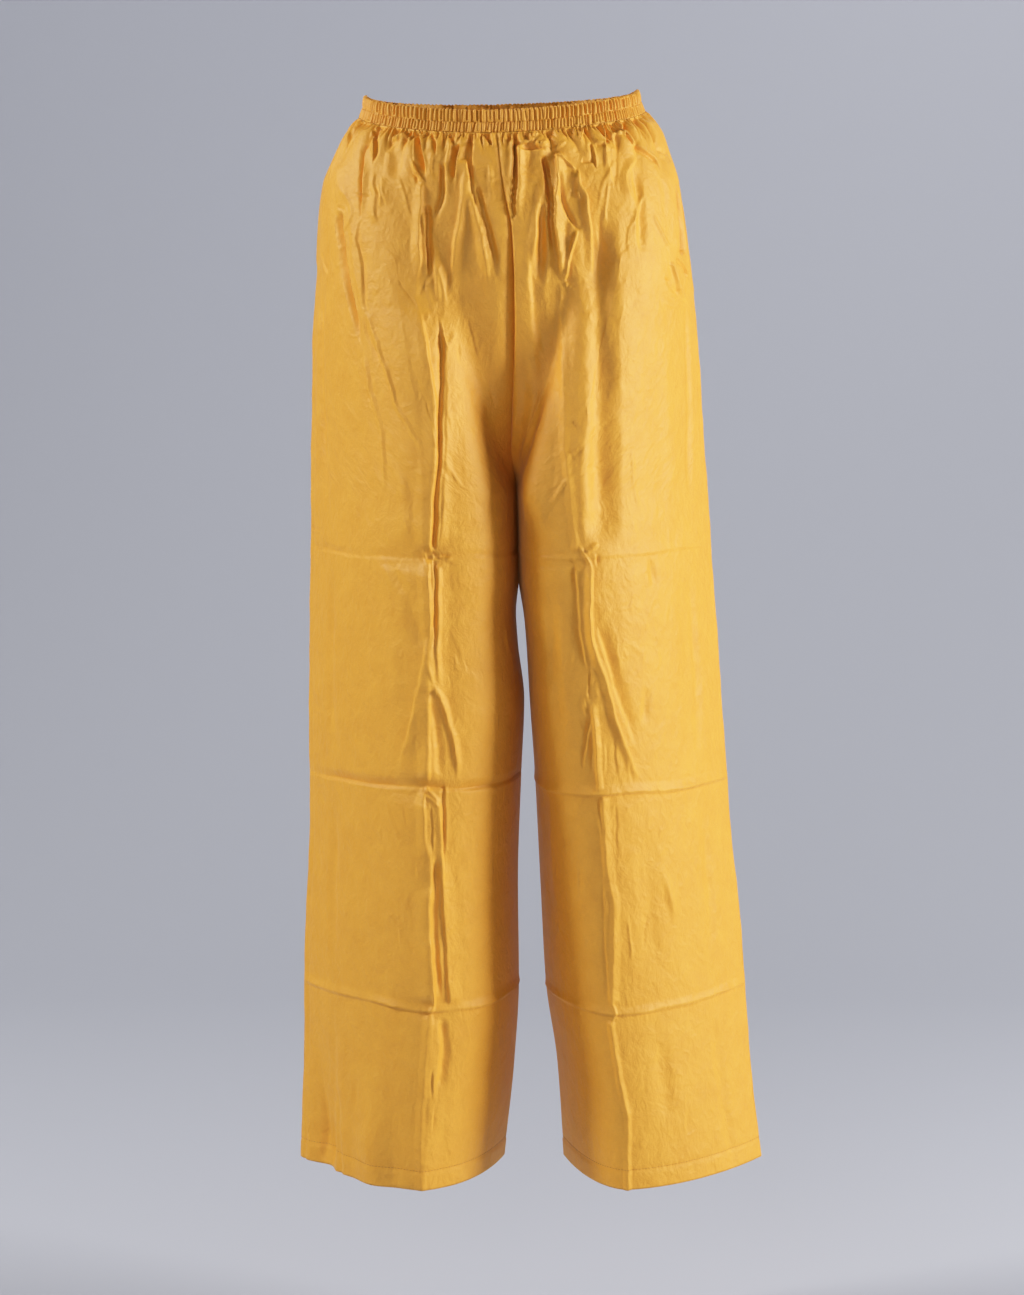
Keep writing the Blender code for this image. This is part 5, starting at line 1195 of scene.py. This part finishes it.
def waistband(material):
    """The ruched casing over the elastic, closed over its top edge and round its foot."""
    down = np.linspace(0.0, 1.0, BAND_ROWS + 1)
    rings = np.array([waist_ring(BAND_TOP + (BAND_FOOT - BAND_TOP) * one, BAND_COLUMNS) for one in down])
    ways = np.array([ring_outward(ring) for ring in rings])
    steps = np.linalg.norm(np.roll(rings[0], -1, axis=0) - rings[0], axis=1)
    around = float(steps.sum())
    along = np.concatenate(([0.0], np.cumsum(steps)[:-1]))
    rise = sum(ruche_rise(row, down, along, around) for row in RUCHE_ROWS)
    round_off = 1.5 * (1.0 - np.sqrt(1.0 - (1.0 - np.clip(down / 0.07, 0.0, 1.0)) ** 2))
    channel = 0.35 * np.exp(-(((down - CHANNEL) / 0.035) ** 2))
    tucked = 0.1 * np.exp(-(((down - 1.0) / 0.05) ** 2))
    belly = 0.7 * np.sin(math.pi * np.clip(down / CHANNEL, 0.0, 1.0)) + 0.3 * np.sin(
        math.pi * np.clip((down - CHANNEL) / (1.0 - CHANNEL), 0.0, 1.0)
    )
    rise += (belly - round_off - channel - tucked)[:, None]
    outer = rings + ways * rise[..., None]
    side_lift = RIM_SIDE_LIFT * np.abs(ways[0][:, 0]) ** 3
    lift = RIM_LIFT + side_lift + RIM_SCALLOP * np.clip(rise[6], -3.0, 1.0)
    outer[..., 2] += (1.0 - smooth(down / CHANNEL))[:, None] * lift
    inner = np.array([rings[0] - ways[0] * BAND_WALL, rings[-1] - ways[-1] * BAND_WALL])[:, ::BAND_INNER_STEP]
    inner[0, :, 2] -= 0.3

    rows, columns = outer.shape[:2]
    inner_columns = inner.shape[1]
    count = rows * columns
    vertices = np.concatenate([outer.reshape(-1, 3), inner.reshape(-1, 3)])
    row, place = np.meshgrid(np.arange(rows - 1), np.arange(columns), indexing="ij")
    first = (row * columns + place).ravel()
    beside = (row * columns + (place + 1) % columns).ravel()
    quads = np.stack([first, first + columns, beside + columns, beside], axis=1)
    ring = np.arange(inner_columns)
    after = (ring + 1) % inner_columns
    foot = count + inner_columns
    wall = np.stack([count + after, foot + after, foot + ring, count + ring], axis=1)
    ids = np.concatenate([np.arange(columns), [0]])
    inner_ids = np.concatenate([np.arange(inner_columns), [0]])
    triangles = np.concatenate(
        [
            rim_faces(ids, inner_ids + count, False),
            rim_faces(ids + (rows - 1) * columns, inner_ids + foot, True),
        ]
    )
    flat = np.stack(np.broadcast_arrays(along[None, :], -(down * (BAND_TOP - BAND_FOOT))[:, None]), axis=2)
    uv = np.concatenate([flat.reshape(-1, 2), flat[[0, -1], ::BAND_INNER_STEP].reshape(-1, 2)])
    made = new_mesh("waistband_cloth", vertices, np.concatenate([quads, wall]), triangles, uv, material)
    channel_row = int(round(CHANNEL * BAND_ROWS))
    return made, outer[channel_row] + ways[channel_row] * STITCH_LIFT, ways[channel_row]


def pocket_bag(side, material):
    """Bag of an in-seam pocket, hanging behind the front panel, with a few soft folds of its own."""
    levels = np.linspace(POCKET_BAG[0].level, POCKET_BAG[-1].level, POCKET_BAG_ROWS + 1)
    outer = []
    flat = []
    for level in levels:
        reach = column(POCKET_BAG, "reach", level)
        shares = np.linspace(-POCKET_BAG_WRAP, reach, POCKET_BAG_COLUMNS + 1)
        points = np.zeros((len(shares), 3))
        for face in (FRONT, BACK):
            chosen = shares * -face >= 0.0
            points[chosen] = at_shares(panel_line(side, face, level), np.abs(shares[chosen]))
        outer.append(points)
        steps = np.linalg.norm(np.diff(points, axis=0), axis=1)
        along = np.concatenate(([0.0], np.cumsum(steps)))
        flat.append(np.stack([along, np.full(len(shares), level)], axis=1))
    points = np.array(outer)
    normals = grid_normals(points, -side)
    down = np.linspace(0.0, 1.0, len(levels))[:, None]
    across = np.linspace(0.0, 1.0, POCKET_BAG_COLUMNS + 1)[None, :]
    sag = 0.6 * np.sin(9.0 * across + 3.0 * down) + 0.4 * np.sin(17.0 * across - 5.0 * down)
    depth = CLOTH + POCKET_BAG_CLEAR + POCKET_BAG_SAG
    depth = depth - sag * down * np.sin(math.pi * np.clip(across, 0.0, 1.0))
    outer = points - normals * depth[..., None]
    inner = (points - normals * (depth + POCKET_BAG_DEPTH)[..., None])[::INNER_STEP, ::INNER_STEP]
    name = "pocket_bag_" + SIDE_NAMES[side] + "_cloth"
    return shell(name, outer, inner, np.array(flat), INNER_STEP, -side, material)


def linear(code):
    """Linear colour of an sRGB hex value."""
    parts = [int(code[place : place + 2], 16) / 255.0 for place in (1, 3, 5)]
    return [part / 12.92 if part <= 0.04045 else ((part + 0.055) / 1.055) ** 2.4 for part in parts] + [1.0]


def add(tree, kind, settings=None, links=None):
    """A node with its settings and its input values, and links from other nodes' sockets."""
    node = tree.nodes.new(kind)
    for name, value in (settings or {}).items():
        if isinstance(name, str) and hasattr(node, name):
            setattr(node, name, value)
        else:
            node.inputs[name].default_value = value
    for name, source in (links or {}).items():
        tree.links.new(source, node.inputs[name])
    return node


def new_material(name):
    """A material with its node tree, its shader and a node for the places on it."""
    made = bpy.data.materials.new(name)
    made.use_nodes = True
    tree = made.node_tree
    return made, tree, tree.nodes["Principled BSDF"], add(tree, "ShaderNodeTexCoord")


def cloth_material(name, base, shade, weave=1.0, crumple=1.0):
    """Thin plain-woven rayon: uneven dye, fine threads with slubs, small crumples and a soft warm sheen.

    The threads are about 0.3 mm apart in the cloth and are drawn three times as coarse, as the picture
    cannot show finer ones.
    """
    made, tree, shader, place = new_material(name)
    flat = place.outputs["UV"]

    cloud = add(
        tree,
        "ShaderNodeTexNoise",
        {"Scale": 46.0, "Detail": 6.0, "Roughness": 0.65},
        {"Vector": place.outputs["Object"]},
    )
    thread_noise = []
    for scale in ((1300.0, 260.0, 1.0), (260.0, 1300.0, 1.0)):
        way = add(tree, "ShaderNodeMapping", {"Scale": scale}, {"Vector": flat})
        settings = {"Scale": 1.0, "Detail": 3.0, "Roughness": 0.7}
        noise = add(tree, "ShaderNodeTexNoise", settings, {"Vector": way.outputs[0]})
        thread_noise.append(noise.outputs["Fac"])
    threads = add(tree, "ShaderNodeMath", {"operation": "ADD"}, dict(enumerate(thread_noise)))

    tint = add(
        tree,
        "ShaderNodeMix",
        {"data_type": "RGBA", 6: linear(base), 7: linear(shade)},
        {0: cloud.outputs["Fac"]},
    )
    grain = add(
        tree,
        "ShaderNodeMapRange",
        {"From Min": 0.7, "From Max": 1.3, "To Min": 1.0 - 0.06 * weave, "To Max": 1.0 + 0.06 * weave},
        {"Value": threads.outputs[0]},
    )
    toned = add(
        tree,
        "ShaderNodeMix",
        {"data_type": "RGBA", "blend_type": "MULTIPLY", 0: 1.0},
        {6: tint.outputs[2], 7: grain.outputs[0]},
    )

    leaning = {"Rotation": (0.0, 0.0, 0.5), "Scale": (120.0, 90.0, 1.0)}
    lie = add(tree, "ShaderNodeMapping", leaning, {"Vector": flat})
    ridged = {"noise_type": "RIDGED_MULTIFRACTAL", "Scale": 1.0, "Detail": 3.0, "Roughness": 0.55}
    ridged.update({"Distortion": 0.5, "Gain": 1.6})
    crumples = add(tree, "ShaderNodeTexNoise", ridged, {"Vector": lie.outputs[0]})
    hang = add(tree, "ShaderNodeMapping", {"Scale": (62.0, 46.0, 1.0)}, {"Vector": flat})
    soft = add(
        tree,
        "ShaderNodeTexNoise",
        {"Scale": 1.0, "Detail": 6.0, "Roughness": 0.6, "Distortion": 0.4},
        {"Vector": hang.outputs[0]},
    )
    soft_bump = add(
        tree,
        "ShaderNodeBump",
        {"Strength": 1.0, "Distance": 0.0020 * crumple},
        {"Height": soft.outputs["Fac"]},
    )
    crumple_bump = add(
        tree,
        "ShaderNodeBump",
        {"Strength": 1.0, "Distance": 0.0006 * crumple},
        {"Height": crumples.outputs["Fac"], "Normal": soft_bump.outputs[0]},
    )
    weave_bump = add(
        tree,
        "ShaderNodeBump",
        {"Strength": 1.0, "Distance": 0.00012 * weave},
        {"Height": threads.outputs[0], "Normal": crumple_bump.outputs[0]},
    )
    tree.links.new(toned.outputs[2], shader.inputs["Base Color"])
    tree.links.new(weave_bump.outputs[0], shader.inputs["Normal"])
    shader.inputs["Roughness"].default_value = 0.55
    shader.inputs["Specular IOR Level"].default_value = 0.5
    shader.inputs["Sheen Weight"].default_value = 0.12
    shader.inputs["Sheen Roughness"].default_value = 0.5
    shader.inputs["Sheen Tint"].default_value = linear("#FFEBC4")
    return made


def thread_material():
    """Mustard polyester sewing thread, a little deeper and glossier than the cloth."""
    made, tree, shader, place = new_material("sewing_thread")
    spot = place.outputs["Object"]
    twist = add(tree, "ShaderNodeTexNoise", {"Scale": 2400.0, "Detail": 2.0}, {"Vector": spot})
    tint = add(
        tree,
        "ShaderNodeMix",
        {"data_type": "RGBA", 6: linear("#C98F35"), 7: linear("#A8701F")},
        {0: twist.outputs["Fac"]},
    )
    bump = add(
        tree, "ShaderNodeBump", {"Strength": 0.6, "Distance": 0.00005}, {"Height": twist.outputs["Fac"]}
    )
    tree.links.new(tint.outputs[2], shader.inputs["Base Color"])
    tree.links.new(bump.outputs[0], shader.inputs["Normal"])
    shader.inputs["Roughness"].default_value = 0.42
    return made


def stitch_mesh(length, radius):
    """One stitch: a short rounded thread that dips into the cloth at both ends."""
    around = 6
    rings = [(-0.5, 0.25, -1.0), (-0.38, 0.85, -0.1), (0.0, 1.0, 0.3), (0.38, 0.85, -0.1), (0.5, 0.25, -1.0)]
    vertices = []
    for along, size, height in rings:
        for one in range(around):
            turn = 2.0 * math.pi * one / around
            across = math.cos(turn) * size * radius * MM
            up = (math.sin(turn) * size + height) * radius * MM
            vertices.append((along * length * MM, across, up))
    faces = []
    for ring in range(len(rings) - 1):
        for one in range(around):
            after = (one + 1) % around
            low = ring * around
            faces.append([low + one, low + after, low + around + after, low + around + one])
    faces.append(list(range(around))[::-1])
    faces.append([(len(rings) - 1) * around + one for one in range(around)])
    mesh = bpy.data.meshes.new("stitch")
    mesh.from_pydata(vertices, [], faces)
    mesh.update()
    return mesh


def stitch_line(name, points, ways, stitch, material, closed):
    """A row of stitches: Geometry Nodes lay one stitch on each point of the resampled line."""
    mesh = bpy.data.meshes.new(name)
    count = len(points)
    edges = [(one, one + 1) for one in range(count - 1)] + ([(count - 1, 0)] if closed else [])
    mesh.from_pydata((points * MM).tolist(), edges, [])
    attribute = mesh.attributes.new("way", "FLOAT_VECTOR", "POINT")
    attribute.data.foreach_set("vector", ways.astype(np.float32).ravel())
    made = bpy.data.objects.new(name, mesh)
    bpy.context.collection.objects.link(made)
    source = bpy.data.objects.new(name + "_one", stitch_mesh(stitch.length, stitch.radius))
    bpy.context.collection.objects.link(source)

    tree = bpy.data.node_groups.new(name + "_nodes", "GeometryNodeTree")
    tree.interface.new_socket("Geometry", in_out="INPUT", socket_type="NodeSocketGeometry")
    pitch_socket = tree.interface.new_socket("Pitch", in_out="INPUT", socket_type="NodeSocketFloat")
    one_socket = tree.interface.new_socket("Stitch", in_out="INPUT", socket_type="NodeSocketObject")
    tree.interface.new_socket("Geometry", in_out="OUTPUT", socket_type="NodeSocketGeometry")
    entry = add(tree, "NodeGroupInput")
    to_curve = add(tree, "GeometryNodeMeshToCurve", None, {"Mesh": entry.outputs["Geometry"]})
    way = add(tree, "GeometryNodeInputNamedAttribute", {"data_type": "FLOAT_VECTOR", "Name": "way"})
    spaced = add(
        tree,
        "GeometryNodeResampleCurve",
        {"mode": "LENGTH"},
        {"Curve": to_curve.outputs["Curve"], "Length": entry.outputs["Pitch"]},
    )
    tangent = add(tree, "GeometryNodeInputTangent")
    kept = add(
        tree,
        "GeometryNodeStoreNamedAttribute",
        {"data_type": "FLOAT_VECTOR", "domain": "POINT", "Name": "along"},
        {"Geometry": spaced.outputs["Curve"], "Value": tangent.outputs[0]},
    )
    dots = add(tree, "GeometryNodeCurveToPoints", {"mode": "EVALUATED"}, {"Curve": kept.outputs["Geometry"]})
    along = add(tree, "GeometryNodeInputNamedAttribute", {"data_type": "FLOAT_VECTOR", "Name": "along"})
    laid = add(
        tree, "FunctionNodeAlignRotationToVector", {"axis": "X"}, {"Vector": along.outputs["Attribute"]}
    )
    stood = add(
        tree,
        "FunctionNodeAlignRotationToVector",
        {"axis": "Z", "pivot_axis": "X"},
        {"Rotation": laid.outputs["Rotation"], "Vector": way.outputs["Attribute"]},
    )
    single = add(tree, "GeometryNodeObjectInfo", None, {"Object": entry.outputs["Stitch"]})
    on_points = {
        "Points": dots.outputs["Points"],
        "Instance": single.outputs["Geometry"],
        "Rotation": stood.outputs["Rotation"],
    }
    placed = add(tree, "GeometryNodeInstanceOnPoints", None, on_points)
    real = add(tree, "GeometryNodeRealizeInstances", None, {"Geometry": placed.outputs["Instances"]})
    dressed = add(
        tree, "GeometryNodeSetMaterial", {"Material": material}, {"Geometry": real.outputs["Geometry"]}
    )
    add(tree, "NodeGroupOutput", None, {"Geometry": dressed.outputs["Geometry"]})

    modifier = made.modifiers.new("stitches", "NODES")
    modifier.node_group = tree
    modifier[pitch_socket.identifier] = stitch.pitch * MM
    modifier[one_socket.identifier] = source
    graph = bpy.context.evaluated_depsgraph_get()
    finished = bpy.data.meshes.new_from_object(made.evaluated_get(graph), depsgraph=graph)
    made.modifiers.clear()
    made.data = finished
    finished.name = name
    if not finished.materials:
        finished.materials.append(material)
    for polygon in finished.polygons:
        polygon.use_smooth = True
    bpy.data.objects.remove(source, do_unlink=True)
    return made


def row_line(part, levels, level, lift):
    """A line across a panel at a level, just above its cloth."""
    row = int(np.argmin(np.abs(levels - level)))
    return part.outer[row] + part.normals[row] * lift, part.normals[row]


def backdrop_material():
    """Pale grey studio paper with painted light: its colour grows a little lighter from the floor towards the
    top.
    """
    made, tree, shader, place = new_material("studio_paper")
    parts = add(tree, "ShaderNodeSeparateXYZ", None, {0: place.outputs["Object"]})
    heights = {"From Min": -1.2, "From Max": 1.0}
    share = add(tree, "ShaderNodeMapRange", heights, {"Value": parts.outputs["Z"]})
    # Painted light: the paper's colour is blended by height, a little darker at the floor and lighter higher
    # up
    tint = add(
        tree,
        "ShaderNodeMix",
        {"data_type": "RGBA", 6: linear("#BFC3CF"), 7: linear("#C3C7D4")},
        {0: share.outputs[0]},
    )
    tree.links.new(tint.outputs[2], shader.inputs["Base Color"])
    shader.inputs["Roughness"].default_value = 0.95
    shader.inputs["Specular IOR Level"].default_value = 0.1
    return made


def backdrop():
    """A sheet of paper that curves up from the floor."""
    floor, wall, radius, half = -1.16, 3.6, 2.2, 6.0
    line = [(-4.0, floor), (wall - radius, floor)]
    for one in range(1, 25):
        turn = math.pi / 2 * one / 24
        line.append((wall - radius + radius * math.sin(turn), floor + radius - radius * math.cos(turn)))
    line.append((wall, 4.0))
    vertices = [(x, y, z) for y, z in line for x in (-half, half)]
    faces = [[2 * one, 2 * one + 1, 2 * one + 3, 2 * one + 2] for one in range(len(line) - 1)]
    mesh = bpy.data.meshes.new("studio_backdrop")
    mesh.from_pydata(vertices, [], faces)
    mesh.update()
    mesh.shade_smooth()
    mesh.materials.append(backdrop_material())
    made = bpy.data.objects.new("studio_backdrop", mesh)
    bpy.context.collection.objects.link(made)


def area_light(lamp):
    """A soft rectangular lamp that faces a point and isn't seen itself."""
    data = bpy.data.lights.new(lamp.name, "AREA")
    data.shape = "RECTANGLE"
    data.size, data.size_y = lamp.size
    data.energy = lamp.power
    data.color = linear(LAMP_COLOUR)[:3]
    made = bpy.data.objects.new(lamp.name, data)
    made.location = lamp.place
    way = np.array(lamp.target) - np.array(lamp.place)
    level = math.hypot(way[0], way[1])
    made.rotation_euler = (math.atan2(level, -way[2]), 0.0, math.atan2(-way[0], way[1]))
    made.visible_camera = False
    bpy.context.collection.objects.link(made)


def studio():
    """Plain paper, a lamp at each side, a weak one in front, two for the paper behind, and the camera."""
    backdrop()
    for lamp in LAMPS:
        area_light(lamp)
    world = bpy.data.worlds.new("studio_air")
    world.use_nodes = True
    sky = world.node_tree.nodes["Background"]
    sky.inputs["Color"].default_value = linear("#E4E8F0")
    sky.inputs["Strength"].default_value = 0.04
    bpy.context.scene.world = world

    data = bpy.data.cameras.new("camera")
    data.sensor_width = 36.0
    data.lens = 64.86
    camera = bpy.data.objects.new("camera", data)
    camera.location = (0.009, -2.0885, -0.2565)
    camera.rotation_euler = (math.radians(84.0), 0.0, 0.0)
    bpy.context.collection.objects.link(camera)
    bpy.context.scene.camera = camera
    view = bpy.context.scene.view_settings
    view.view_transform = "Standard"
    view.use_curve_mapping = True
    view.curve_mapping.clip_max_x = 2.0
    film = view.curve_mapping.curves[3]
    film.points[1].location = (2.0, 1.0)
    for place in FILM_CURVE:
        film.points.new(*place)
    view.curve_mapping.update()


def declare(piece, node):
    """Makes a cloth piece stand for its solid."""
    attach(piece, "root")
    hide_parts(node)


def sew(name, line, ways, stitch, thread, closed):
    """A row of stitches that belongs to the garment."""
    row = stitch_line(name, line, ways, stitch, thread, closed)
    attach(row, "root")
    return row


def main():
    studio()
    thread = thread_material()
    folds = {
        (LEFT, FRONT): LEFT_FOLDS,
        (RIGHT, FRONT): RIGHT_FOLDS,
        (LEFT, BACK): BACK_LEFT_FOLDS,
        (RIGHT, BACK): BACK_RIGHT_FOLDS,
    }
    for seed, ((side, face), table) in enumerate(folds.items(), start=5):
        name = FACE_NAMES[face] + "_" + SIDE_NAMES[side]
        rayon = cloth_material("rayon_" + name, "#EFAE3C", "#DB982B")
        made, part, levels = panel(side, face, table, seed, rayon)
        declare(made, name)
        line, ways = row_line(part, levels, HEM_LEVEL + HEM_WIDTH, STITCH_LIFT)
        row = sew(name + "_hem_stitches", line, ways, HEM_STITCH, thread, False)
    band, line, ways = waistband(cloth_material("rayon_waistband", "#E6A333", "#D7952B", 1.3, 0.4))
    declare(band, "waistband")
    row = sew("channel_stitches", line, ways, CHANNEL_STITCH, thread, True)
    for side in (LEFT, RIGHT):
        name = "pocket_bag_" + SIDE_NAMES[side]
        # The bag is the same rayon as the panels, given a darker colour as painted shade inside the pocket
        bag = pocket_bag(side, cloth_material("rayon_" + name, "#CC8F26", "#BC801C"))
        declare(bag, name)


main()
